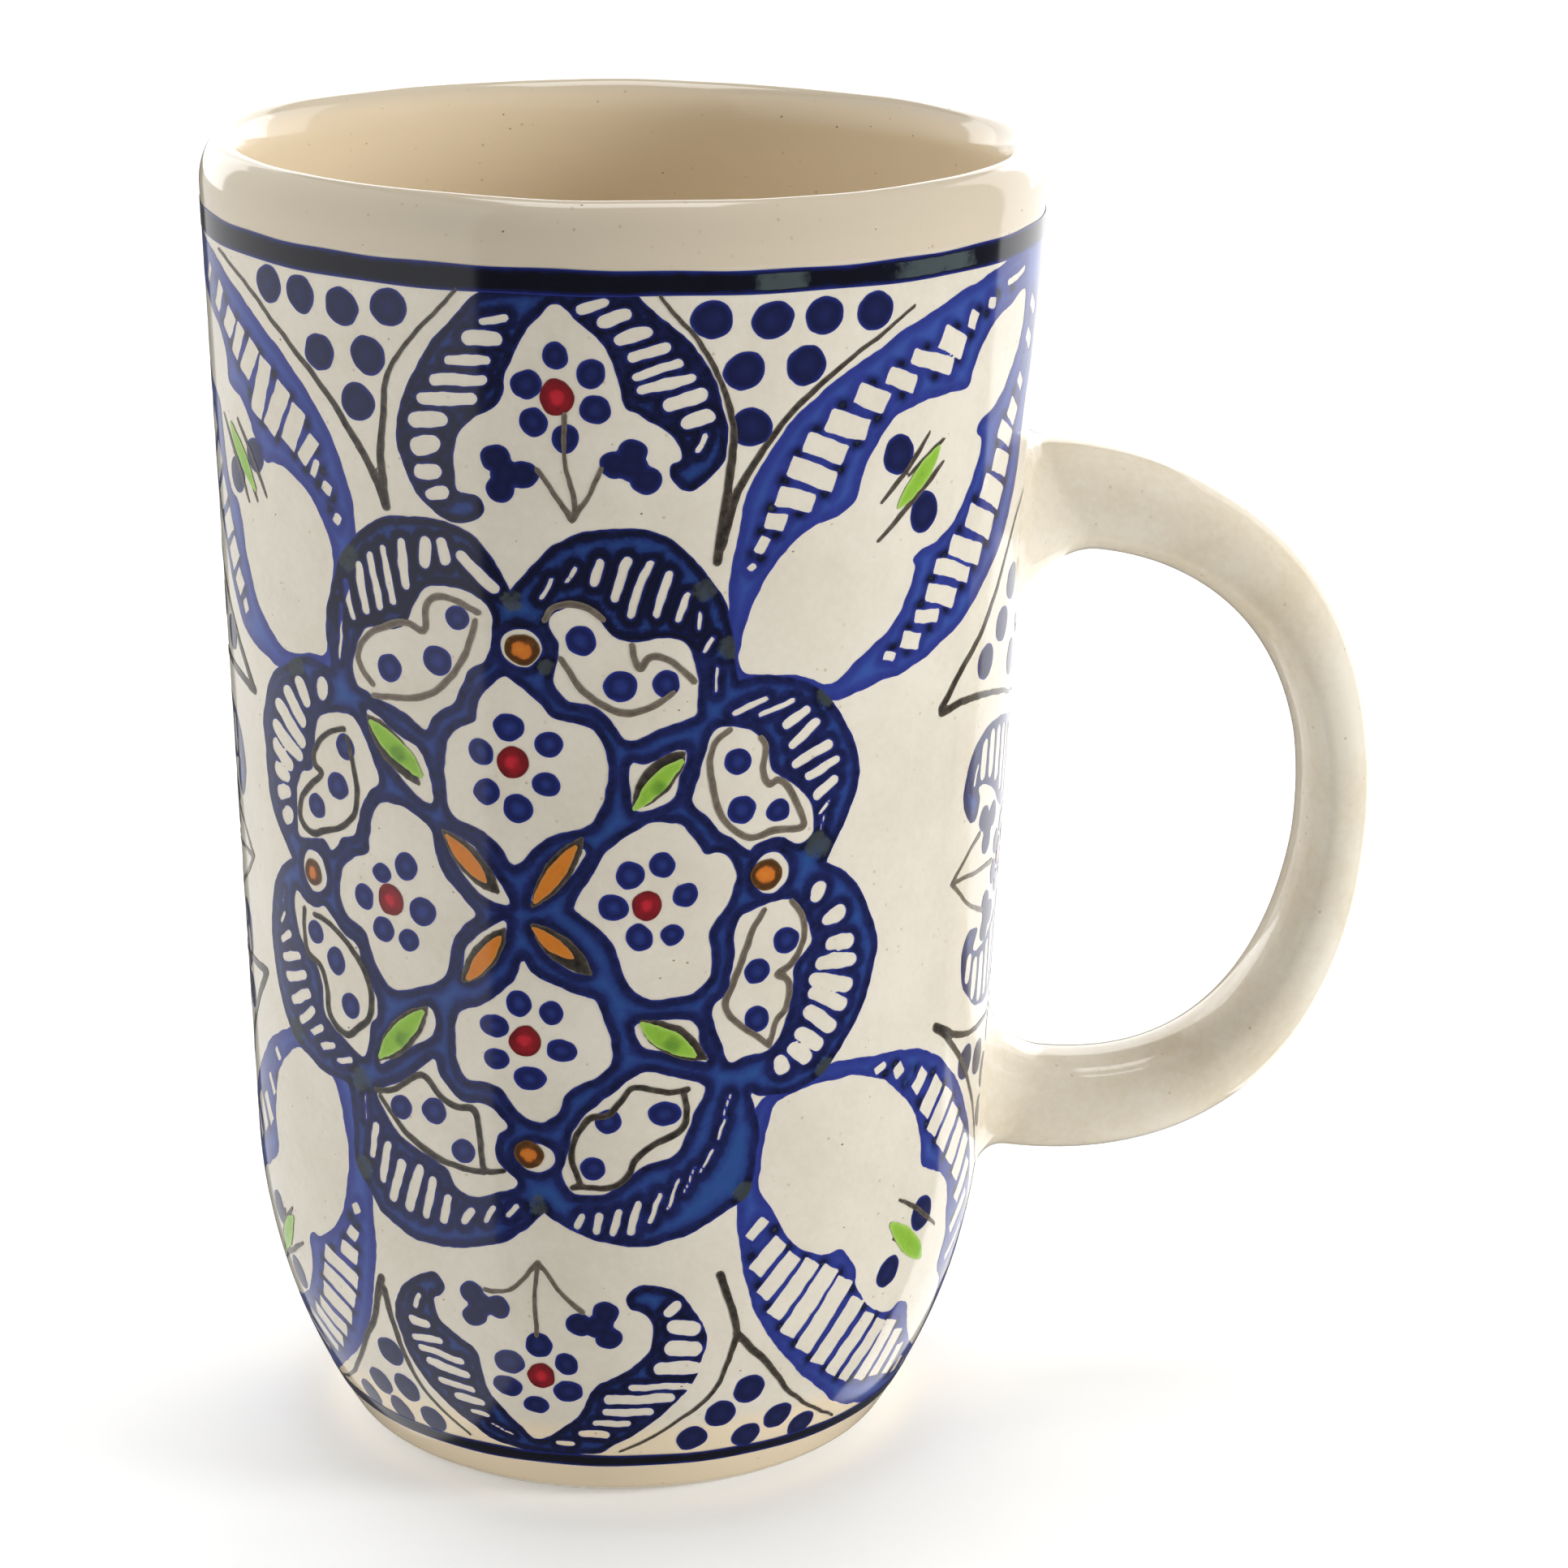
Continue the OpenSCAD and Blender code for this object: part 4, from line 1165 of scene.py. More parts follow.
CRESTS = [
    Crest([(-3.1, 136.6), (-6.1, 133.9), (-8.4, 131.3), (-10.2, 128.6), (-11.6, 125.4), (-12.5, 122.2),
          (-12.4, 119.5), (-11.3, 117.2), (-9.9, 115.1), (-7.8, 113.6), (-5.8, 113.2), (-4, 113.9),
          (-3.6, 115.1), (-4.3, 116.3), (-6.1, 116.6), (-6.5, 118.6), (-6.1, 121.6), (-4.6, 123.6),
          (-1.6, 125.8), (-1.2, 128.6), (0.4, 131.9), (1.9, 134.2), (3.6, 135.8), (5.4, 134.2),
          (7.8, 131.9), (9.2, 129.2), (10, 125.7), (11.3, 125), (13.9, 123.3), (15.1, 121.9), (15.4, 120.4),
          (14.4, 119.7), (14.5, 118.3), (16, 117.2), (17.8, 118.2), (19.5, 120.1), (19.7, 122.8),
          (19.2, 125.4), (18.3, 128.6), (16.6, 131.3), (14.2, 133.9), (11.9, 135.7), (10.1, 137.2),
          (3, 137.4)], [(-3, 133.6, -1.3, 134, 0.9), (-4.4, 131.8, -2.3, 132, 1.1),
          (-6.4, 129.5, -3.3, 129.8, 0.9), (-8.1, 127.5, -3.8, 127.8, 1.2), (-9.2, 125.5, -4.9, 125.8, 1.2),
          (-10, 123.2, -8, 123.5, 1.3), (-9.9, 120.6, -8.9, 120.8, 1.5), (-9.7, 118, -8.8, 118.1, 1.3),
          (-8.6, 115.9, -7.9, 116.1, 1), (6.2, 135.3, 7.8, 135.9, 0.8), (8.3, 134.1, 9.7, 134.6, 0.9),
          (9.8, 132.3, 11.7, 133, 1), (11, 130.7, 13.5, 131.5, 1), (11.3, 128.8, 14.7, 129.9, 1.1),
          (11.9, 127.5, 15.8, 128.4, 1), (14.5, 126, 16.8, 126.7, 1), (16.2, 124.1, 17.4, 124.6, 1),
          (17, 121.5, 17.4, 122.5, 1.1)], [(3.6, 130.5, 1.25, 1.4), (6.9, 128.9, 1.45), (7.2, 125.4, 1.5),
          (4.5, 122.4, 1.3, 1.55), (1.5, 123.9, 1.45), (0.8, 127.6, 1.5)], (3.7, 126.5, 1.7),
          [[(4.4, 124.9), (4.4, 120.4), (5.3, 116), (5.1, 114.2)], [(1.7, 119.2), (3.4, 116.8),
          (5.1, 114.2)], [(7.8, 119.4), (6.6, 116.6), (5.1, 114.2)]], [[(-2.2, 120.1), (0.4, 118.6),
          (-1.8, 117)], [(10.7, 121.1), (9.1, 119.8), (12, 118.3)]]),
    Crest([(-6.9, 8.4), (-9.6, 10.3), (-12.5, 12.7), (-14.9, 15.3), (-16.6, 18), (-17.4, 20.9),
          (-17.7, 23.9), (-17.2, 26.2), (-15.8, 28.6), (-13.4, 30.2), (-11.3, 30.9), (-10.3, 29.8),
          (-10.8, 28.3), (-11.8, 27.7), (-11.6, 25.9), (-10.8, 24.5), (-8.7, 23), (-7.1, 21.8),
          (-6.8, 19.5), (-6.1, 16.2), (-4.6, 13.9), (-2.8, 11.5), (-1.2, 9.8), (1.3, 10.9), (3.3, 12.7),
          (5.1, 14.8), (6.3, 17.4), (7.5, 18.9), (8.9, 19.5), (11.3, 21.2), (13.1, 23.3), (13.5, 25.6),
          (13.3, 27.4), (12.5, 28.4), (11, 28.9), (10.6, 30.1), (11.6, 31.4), (13.3, 31.7), (15.4, 31.1),
          (17.2, 29.5), (18.9, 27.1), (20, 24.5), (19.5, 21.8), (18.6, 18.9), (16.6, 15.9), (14.2, 13.3),
          (11.9, 11.2), (8.9, 9.5), (6.6, 7.9), (0, 7.6)], [(-14.6, 26.3, -14, 27.4, 1.2),
          (-15, 24.1, -13.7, 24, 1.1), (-15.1, 21.9, -12.2, 22, 1.2), (-14.5, 20.5, -9.6, 20, 1.3),
          (-13.7, 18.8, -9.3, 18.3, 1.2), (-12.6, 16.6, -9, 16.2, 1.1), (-10.7, 14.7, -8.1, 14.4, 1.1),
          (-9.1, 12.7, -7.7, 12.5, 0.9), (-6.7, 11.1, -4.7, 10.2, 1.1), (15.5, 28.3, 15.9, 28.7, 1),
          (16.3, 26.3, 17.9, 26.1, 1.4), (16.2, 23.6, 18.2, 23.4, 1.5), (14.9, 21, 18.2, 20.8, 1.2),
          (11.6, 18.5, 17.4, 18.3, 1.2), (9, 16.8, 15.6, 16.7, 1.4), (8.6, 14.9, 13.2, 14.8, 1),
          (7.1, 13.1, 10.6, 13.1, 0.8), (5.4, 11.4, 7.7, 11.2, 0.9), (2.2, 9.6, 3.5, 9.6, 0.8)],
          [(0.6, 23.8, 1.65), (3.7, 21.5, 1.5), (3.7, 17.7, 1.8, 1.5), (-0.4, 15.3, 1.6, 1.25),
          (-3.7, 17.7, 1.8, 1.4), (-3.1, 21.1, 1.9, 1.6)], (0.6, 19.6, 1.7), [[(0.9, 34), (0.5, 30),
          (0.4, 25)], [(0.9, 34), (-1.9, 30.6), (-4, 29.9), (-5.2, 30)], [(0.9, 34), (3.3, 30.6),
          (5.7, 28.3)]], [[(-6.9, 29.5), (-4, 28), (-6.8, 26.5)], [(5.4, 26.8), (8.2, 28.3), (8.6, 25.1)]]),
]

SIDE_CREST = Crest([(77.6, 80.5), (72, 83.2), (65.2, 85.3), (60.2, 86), (56, 85.1), (53.5, 82.8),
    (52.5, 79.9), (53.1, 77.8), (54.7, 76), (56.4, 76.2), (57, 78.2), (56.4, 79.5), (58.5, 79.3),
    (61.8, 77.8), (65.2, 75.3), (72, 72), (75, 69), (72, 65.5), (66, 61.5), (61, 60.1), (58.1, 60.5),
    (59.1, 62.4), (58.9, 63), (56.8, 63.2), (55, 62), (54.7, 59.1), (56.4, 56.2), (60.2, 53.7),
    (65.2, 52.6), (72, 53.6), (77.6, 57)], [(55.3, 80.4, 55.8, 81.6, 1.2), (57.5, 81.1, 57.6, 83.4, 1.5),
    (60, 80.8, 60, 84, 1.5), (62.6, 79.6, 62.4, 83.8, 1.6), (65.2, 77.9, 65, 83.2, 1.6),
    (67.8, 76.4, 67.6, 82.4, 1.6), (70.4, 75, 70.2, 81.4, 1.6), (73, 73.6, 72.8, 80, 1.6),
    (75.4, 71.6, 75.3, 78.4, 1.3), (56.8, 58.2, 57, 59.4, 1.2), (59, 55.8, 59.2, 58.2, 1.4),
    (61.6, 54.8, 61.6, 58.2, 1.5), (64.2, 54.6, 64.2, 58.8, 1.5), (66.8, 54.8, 66.8, 60, 1.5),
    (69.4, 55.4, 69.4, 61.8, 1.5), (72, 56.2, 72, 63.6, 1.5), (74.6, 57.6, 74.6, 66, 1.5)],
    [(68.2, 72.4, 1.4), (70.6, 70.4, 1.4), (70, 67.2, 1.4), (67, 65.8, 1.4), (64.6, 67.6, 1.4),
    (65.2, 70.9, 1.4)], (67.5, 69.1, 1.6), [[(51.2, 70.1), (57.7, 69.7), (63.5, 69.2)], [(51.2, 70.1),
    (54.5, 72.4), (57.7, 73.9)], [(51.2, 70.1), (55.5, 66.8), (60.2, 64.5)]], [[(58.9, 75.3), (62.2, 74.9),
    (60.2, 72.4)], [(61.6, 64.9), (63.9, 63.2), (61.8, 61.8)]])


@dataclass(frozen=True)
class CornerLeaf:
    """A long leaf with hatched edges round a bare field and a small green bud."""

    outline: Path
    field: Path
    gaps: Sequence[tuple[float, ...]]
    bud: tuple[Point, Point, float]
    bud_lines: Sequence[tuple[Point, Point]]
    seeds: Sequence[tuple[float, ...]]


CORNER_LEAVES = [
    CornerLeaf([(20.1, 104), (20.1, 107.2), (20.4, 109), (21, 112.8), (21.6, 116), (23.3, 119.8),
        (25.7, 123.3), (29.2, 126.6), (32.8, 128.6), (37.2, 131), (43.1, 133.5), (50.3, 135.3), (60, 137),
        (70, 137), (69, 133), (68.1, 130.3), (65.6, 123.9), (63.9, 120.3), (63, 116.7), (62.4, 113.5),
        (60.6, 109.9), (58.5, 106.4), (56, 104.2), (53.1, 101.9), (49.2, 99.2), (44.9, 97.4), (40.6, 95.8),
        (35.7, 95), (31.9, 94.2), (29, 95), (25, 96.5), (20.8, 97), (20.2, 100)], [(21.4, 99.5),
        (21.6, 102.2), (22.2, 104.5), (23.3, 106.9), (24.8, 109.2), (26.9, 111.6), (29.2, 113.1),
        (31.9, 113.8), (33.6, 115.4), (34.2, 117.8), (35.1, 119.8), (36.6, 121.9), (38.6, 123.3),
        (43.1, 124.2), (47.4, 124.2), (48.5, 124.7), (48.9, 126), (50.3, 128.1), (52.8, 130.3),
        (56.7, 131.7), (60.3, 132.4), (60.8, 130.6), (59.9, 127.4), (57.8, 124.6), (53.9, 121.4),
        (51, 120.5), (50.3, 119.2), (51.4, 118.3), (51.2, 116.7), (49.6, 113.5), (47.4, 111), (44.6, 109),
        (42.4, 108.5), (41, 107.6), (41.4, 106.4), (40.6, 104.2), (38.9, 101.4), (36.3, 99.5), (33.9, 97.8),
        (31.3, 95.9), (27.2, 97.6), (22.6, 98)], [(22.2, 109.4, 22.6, 108.9, 0.6),
        (22.9, 111.6, 23.9, 111.1, 1), (23.7, 114, 25.8, 113.4, 1.1), (24.7, 116.3, 28.5, 115.1, 1.2),
        (25.8, 119.2, 30.9, 117, 1.4), (27.6, 121.5, 32, 119.7, 1.4), (29.9, 123.5, 34.4, 121.9, 1.4),
        (32.9, 126, 36.6, 124.2, 1.5), (36.5, 127.2, 40.2, 125.8, 1.4), (39.6, 128.8, 45.4, 126.8, 1.4),
        (43.5, 130.2, 47.1, 128.5, 1.4), (47.9, 131.5, 49.2, 130.9, 1), (51.2, 132.6, 52.7, 132.3, 0.8),
        (55, 133.9, 60, 134.6, 0.7), (37.7, 98.1, 39.3, 97.6, 0.7), (40, 99.4, 42.6, 98.7, 1),
        (41.7, 101.6, 45.6, 100.8, 1.2), (43.4, 103.8, 48.1, 102.2, 1.4), (44.5, 106.4, 50.5, 104.1, 1.5),
        (46.7, 108.1, 52.8, 105.8, 1.5), (49.7, 110.8, 55.1, 108.2, 1.5), (52.4, 113.4, 57, 110.9, 1.5),
        (54.5, 115.6, 58.3, 114, 1.3), (55.4, 118.8, 58.9, 116.8, 1.2), (57.9, 120.7, 60.1, 119, 1.2),
        (60.2, 123.3, 61.7, 122.1, 1), (62.2, 127.5, 64.4, 125.9, 1.2), (63.4, 130.9, 65.8, 129.1, 1.1)],
        ((38.8, 113.5), (44.1, 118.7), 2.1), [((36.4, 114), (42.6, 120.7)), ((36.2, 110.3), (44.9, 117.3)),
        ((39.6, 116.4), (44.9, 119.5))], [(38.3, 119, 1.9, 2.1), (42.3, 112.4, 1.85, 2.1)]),
    CornerLeaf([(-18, 108), (-18.1, 113.1), (-19, 116.6), (-20.8, 120.4), (-23.4, 123.9), (-26.9, 127.2),
        (-30.8, 129.8), (-35.2, 132.2), (-39.6, 134.1), (-44, 135.4), (-52, 137), (-60, 137), (-61.4, 130),
        (-57.4, 124), (-54.4, 118), (-51.5, 112), (-47, 106), (-43.7, 101), (-40.3, 96.8), (-37, 95.2),
        (-31.2, 93.9), (-26, 94.5), (-21.4, 95), (-20.6, 100)], [(-21, 107.2), (-22.2, 110.7),
        (-23.4, 112.5), (-25.2, 114.2), (-27.5, 115.4), (-29.9, 115.7), (-31.5, 115.4), (-33.7, 118.1),
        (-34.3, 119.2), (-36.6, 121.3), (-39.6, 122.2), (-39.9, 125.1), (-41.6, 127.2), (-44, 128.6),
        (-50, 131), (-55.5, 131.8), (-54, 127), (-50, 121.9), (-45.5, 120), (-43.7, 118.5), (-42.8, 114.3),
        (-41.2, 110.6), (-38.7, 109.3), (-37, 103.5), (-34.5, 99.3), (-30, 96.2), (-25.3, 96.6),
        (-22.6, 97.4), (-22.4, 102)], [(-20.5, 111.1, -20, 112.1, 0.7), (-21.7, 114.1, -21.2, 115.1, 0.9),
        (-23.5, 115.5, -22.6, 117.3, 1), (-25.1, 116.9, -22.9, 119.5, 1.3), (-27.3, 118, -25, 122.1, 1.4),
        (-30.4, 119, -27.3, 124, 1.5), (-32.9, 120.2, -30.4, 126.2, 1.5), (-35.1, 123.8, -32.6, 127.4, 1.4),
        (-37.3, 125.3, -35.3, 128.9, 1.3), (-39.3, 127.4, -37.4, 129.9, 1.3),
        (-42.3, 129.4, -40.4, 132.2, 1.2), (-46, 131.4, -44.4, 133.4, 1.1), (-50.2, 133, -49.2, 134.4, 1),
        (-37.9, 99, -39.2, 98.2, 1), (-39.2, 101.6, -41.2, 99.9, 1.3), (-40.3, 104.6, -43.1, 102.5, 1.4),
        (-41.7, 107.3, -45.2, 105.2, 1.4), (-43.6, 110.4, -47.3, 107.8, 1.4),
        (-45.4, 113.6, -49.1, 110.7, 1.5), (-47.2, 116.9, -51, 114, 1.4), (-49.7, 119.6, -52.8, 117, 1.3),
        (-52.6, 122.4, -54.4, 120.4, 1.2), (-55.2, 125.8, -56.7, 124.1, 1.1),
        (-57.3, 129.6, -58.7, 127.8, 1)], ((-39.8, 118), (-34.1, 112), 2),
        [((-42.4, 118.5), (-35.6, 110.3)), ((-37.7, 118.9), (-31.6, 111.7)),
        ((-38.4, 116.6), (-33.7, 110.8))], [(-38.6, 112.6, 2), (-33.7, 115.7, 1.9)]),
    CornerLeaf([(22.6, 42.5), (22.6, 39.9), (23.1, 35.1), (23.8, 31.5), (25, 27.7), (26.6, 24.8),
        (28.9, 21.5), (31.6, 18.6), (34.2, 15.9), (37.2, 13.6), (40.3, 11), (45.3, 8.7), (50.3, 7.3),
        (60, 6.6), (69, 7.4), (67.6, 15), (66.6, 23), (65.2, 28), (63.5, 33), (61, 39.1), (57.7, 44.1),
        (54.3, 47.8), (50.6, 50.7), (46.4, 52.8), (41.4, 53.9), (36, 54.3), (33.3, 54.4), (28, 53),
        (24.4, 51), (23.6, 46)], [(24.9, 41.9), (26.6, 39), (28.3, 36.1), (30.4, 34), (33.1, 32.5),
        (35.7, 32.7), (37.2, 30.9), (38.3, 29.2), (38.6, 27.4), (40.1, 25.6), (42.7, 23), (46, 21.8),
        (47.7, 22.5), (50, 21.3), (51, 19.3), (53.3, 16.3), (56, 14), (60.4, 12), (61.5, 17), (59.3, 21),
        (56.7, 23.3), (56.3, 25), (56.7, 27.7), (55.7, 31), (55.7, 32.3), (54.7, 34.7), (52.7, 36.7),
        (50, 37.8), (48.3, 39), (47.9, 42), (46.4, 45.7), (43.9, 48.2), (40.2, 51.2), (36, 52.4),
        (31, 52.3), (26.8, 51.2), (25.8, 48.4), (25.2, 44.6)], [(24.1, 36, 25.9, 38, 0.9),
        (24.9, 32, 28, 35.4, 1.3), (26, 28.9, 29.8, 33.4, 1.4), (27.7, 26.2, 32.2, 32, 1.5),
        (29.7, 23.3, 34.8, 30.7, 1.5), (32.2, 20.7, 37, 28.6, 1.5), (34.9, 18, 39.5, 25.6, 1.5),
        (37.8, 15.8, 42.1, 22.8, 1.5), (40.8, 14.1, 44.9, 21.1, 1.6), (44.4, 12.8, 47.4, 20.2, 1.6),
        (47.9, 12, 50, 17.9, 1.5), (51.6, 10.9, 52.6, 14.8, 1.3), (55, 9.8, 55.6, 12, 1.2),
        (59, 9, 59.4, 10, 1.1), (39.6, 52.2, 41, 52.6, 0.8), (42.6, 50.8, 43.8, 51.6, 1.2),
        (46.2, 48.1, 47.9, 50, 1.4), (48.3, 44.8, 51, 48, 1.5), (50.1, 42, 53.6, 46, 1.5),
        (52.3, 39.6, 55.8, 43.3, 1.5), (54.9, 37, 58.2, 40.8, 1.5), (57, 34.4, 60.4, 38.2, 1.5),
        (58.4, 31.2, 62, 34.8, 1.4), (58.4, 27.4, 62.8, 30.8, 1.4), (59, 23.6, 63.8, 26.4, 1.4),
        (61.6, 20.2, 64.8, 22, 1.3), (63.2, 15.6, 65.4, 17.2, 1.2)], ((43.5, 33.4), (50.5, 27.1), 2.5),
        [((44.4, 36), (52.6, 30.3)), ((44, 32.4), (50.5, 27.2)), ((43.9, 31.6), (49.4, 27.6))],
        [(49.2, 33, 2.1), (44, 27.5, 1.95)]),
    CornerLeaf([(-19.6, 42), (-19.6, 38), (-19.4, 32.1), (-20.2, 27.7), (-21.6, 23.9), (-23.4, 20.3),
        (-26.3, 17.1), (-29.3, 14.5), (-32.8, 12.4), (-36.6, 10.1), (-44, 7.1), (-53, 6.6), (-61, 7.4),
        (-59.6, 15), (-58, 24), (-54.4, 33), (-50, 40), (-42.8, 46.8), (-37, 51.4), (-30, 54.3),
        (-26, 52.5), (-21.4, 51), (-20.6, 46)], [(-23.3, 39), (-24.3, 35.1), (-26.3, 32.4), (-29.3, 30.3),
        (-31.1, 30.2), (-32.2, 28.9), (-32.5, 26.2), (-33.7, 23.9), (-36.1, 21.2), (-39.6, 19.2),
        (-44, 17.4), (-50, 15), (-54.5, 12.5), (-53.5, 18), (-51, 23), (-50, 28), (-47, 32), (-43, 34),
        (-38.9, 36.8), (-39.1, 41), (-37, 46.8), (-32, 51.4), (-28, 50.9), (-24.6, 49.6), (-23.2, 44)],
        [(-22.4, 36.3, -21.9, 35.2, 0.8), (-23.7, 32.9, -22.3, 32.2, 0.9), (-25.3, 30.4, -22.7, 29.5, 1.1),
        (-29, 28.7, -23.4, 26.4, 1.4), (-29.9, 26.1, -24.6, 23.6, 1.4), (-31.2, 23.1, -26.2, 20.9, 1.4),
        (-33.4, 20.5, -28.4, 18.3, 1.4), (-36, 18.8, -30.6, 15.9, 1.4), (-39.3, 17, -33.6, 13.9, 1.4),
        (-42.9, 15.4, -37.6, 12.2, 1.4), (-46.6, 13.6, -42.4, 10.6, 1.3), (-50.4, 12, -47.4, 9.8, 1.2),
        (-40.6, 39.6, -43, 42.4, 1.4), (-43.4, 37.8, -46.4, 41.2, 1.4), (-46.6, 35.6, -49.2, 38.4, 1.4),
        (-49.6, 33, -52, 35.4, 1.4), (-52, 29.8, -54.2, 31.8, 1.3), (-53.4, 26, -56, 27.6, 1.3),
        (-54.6, 21.8, -57, 23, 1.3), (-55.8, 17.4, -58.2, 18.2, 1.2), (-39, 43.6, -40.6, 45.6, 1.2),
        (-36.4, 48.4, -37.4, 49.6, 1)], ((-42, 23.8), (-36, 30.2), 2.1), [((-44, 22), (-34, 27.6)),
        ((-41.6, 26), (-35.8, 31.4)), ((-43, 23.4), (-38.4, 30.2))], [(-41, 29.5, 2), (-38.4, 22.3, 2)]),
]

CORNER_SEEDS = [(-29.1, 134.2), (-24.1, 133.9), (-18.5, 133.5), (-13, 134.1), (-21.75, 128.5), (-15.5, 129),
    (-17, 124.2), (18, 134.2), (23.8, 133.9), (29, 134), (34.7, 134), (21.2, 129), (27.3, 129.2),
    (22, 123.4), (-20.2, 18.4), (-24.4, 12.7), (-19.3, 13.4), (-28.8, 9.3), (-22.4, 9), (-16.5, 9.5),
    (26, 16.7), (22.6, 13.6), (19.4, 10.1), (27, 9.2), (31.1, 11.5), (35.7, 8.9), (56, 93.5), (60.5, 96.5),
    (63.5, 100.5), (66, 91.4), (70.5, 95), (70, 101.5), (58, 47.6), (63, 46.5), (67.5, 43.5), (66.5, 39),
    (71, 47.5), (-45, 94), (-50.5, 96.5), (-54, 101.5), (-56.5, 94.5), (-47, 53), (-52.5, 51), (-57, 46.5),
    (-58.5, 52.5)]

THIN_LINES = [
    [(-5.8, 136.6), (-8.7, 133.3), (-11.6, 130.1), (-13.4, 126.9), (-14, 123.3), (-14.4, 119.2),
     (-14, 113.8)],
    [(-40.5, 135.8), (-36.6, 134.7), (-32.2, 132.8), (-28.1, 130.1), (-24, 127.2), (-20.5, 123.9),
     (-17.5, 120.4), (-15.2, 116.9), (-14, 113.8)],
    [(13.1, 136.6), (15.1, 134.2), (16.9, 131.9), (18.6, 128.9), (19.8, 125.4), (20.3, 122.2), (20, 118.6),
     (19.5, 114.5), (18.9, 109.8)],
    [(39.5, 133.9), (35.7, 131.6), (31.3, 128.9), (27.8, 126.3), (24.2, 122.5), (21.9, 118.9),
     (20.4, 115.7), (19.2, 111.2)],
    [(-38.7, 8), (-34.3, 9.8), (-30.5, 12.1), (-26.9, 15.6), (-24, 19.2), (-21.6, 22.4), (-19.1, 28.3)],
    [(-10.8, 8.6), (-14.3, 11.8), (-16.6, 15.1), (-17.8, 18.9), (-18.4, 22.7), (-18.9, 27)],
    [(9.8, 8.4), (13.1, 10.1), (16.6, 12.7), (19.5, 15.1), (21.6, 17.7), (22.6, 20.6), (23.2, 24.5),
     (22.9, 26.5), (21.9, 29.5), (20.8, 32.3)],
    [(42, 8), (37.8, 10.6), (34.2, 13), (31.3, 15.6), (28.1, 19.5), (25.4, 22.4), (23.2, 24.8)],
    [(67, 109.6), (63.5, 107.8), (60.3, 104.2), (57.4, 100.6), (53.9, 96.7), (50.3, 93.9), (46.9, 90.6)],
    [(76, 85), (70, 86.5), (62.8, 88.5), (57.4, 89.7), (51.7, 90.4), (47, 90.2)],
    [(76, 50.6), (68, 50.2), (59.7, 50.7), (54.7, 52), (49.5, 54.5)],
    [(67, 32.6), (64.7, 36.6), (61.8, 42), (59.3, 45.3), (56, 49.1), (51.8, 52.8), (49.5, 54.4)],
    [(-66, 85), (-58, 88.8), (-49, 90.6), (-37.4, 89.7)],
    [(-57, 109), (-51, 102.5), (-46, 98), (-37.4, 89.7)],
    [(-66, 53), (-58, 56), (-48, 57), (-39, 57.7)],
    [(-56, 34), (-52, 41), (-47, 49), (-39, 57.7)],
]


# ---------------------------------------------------------------- the painter

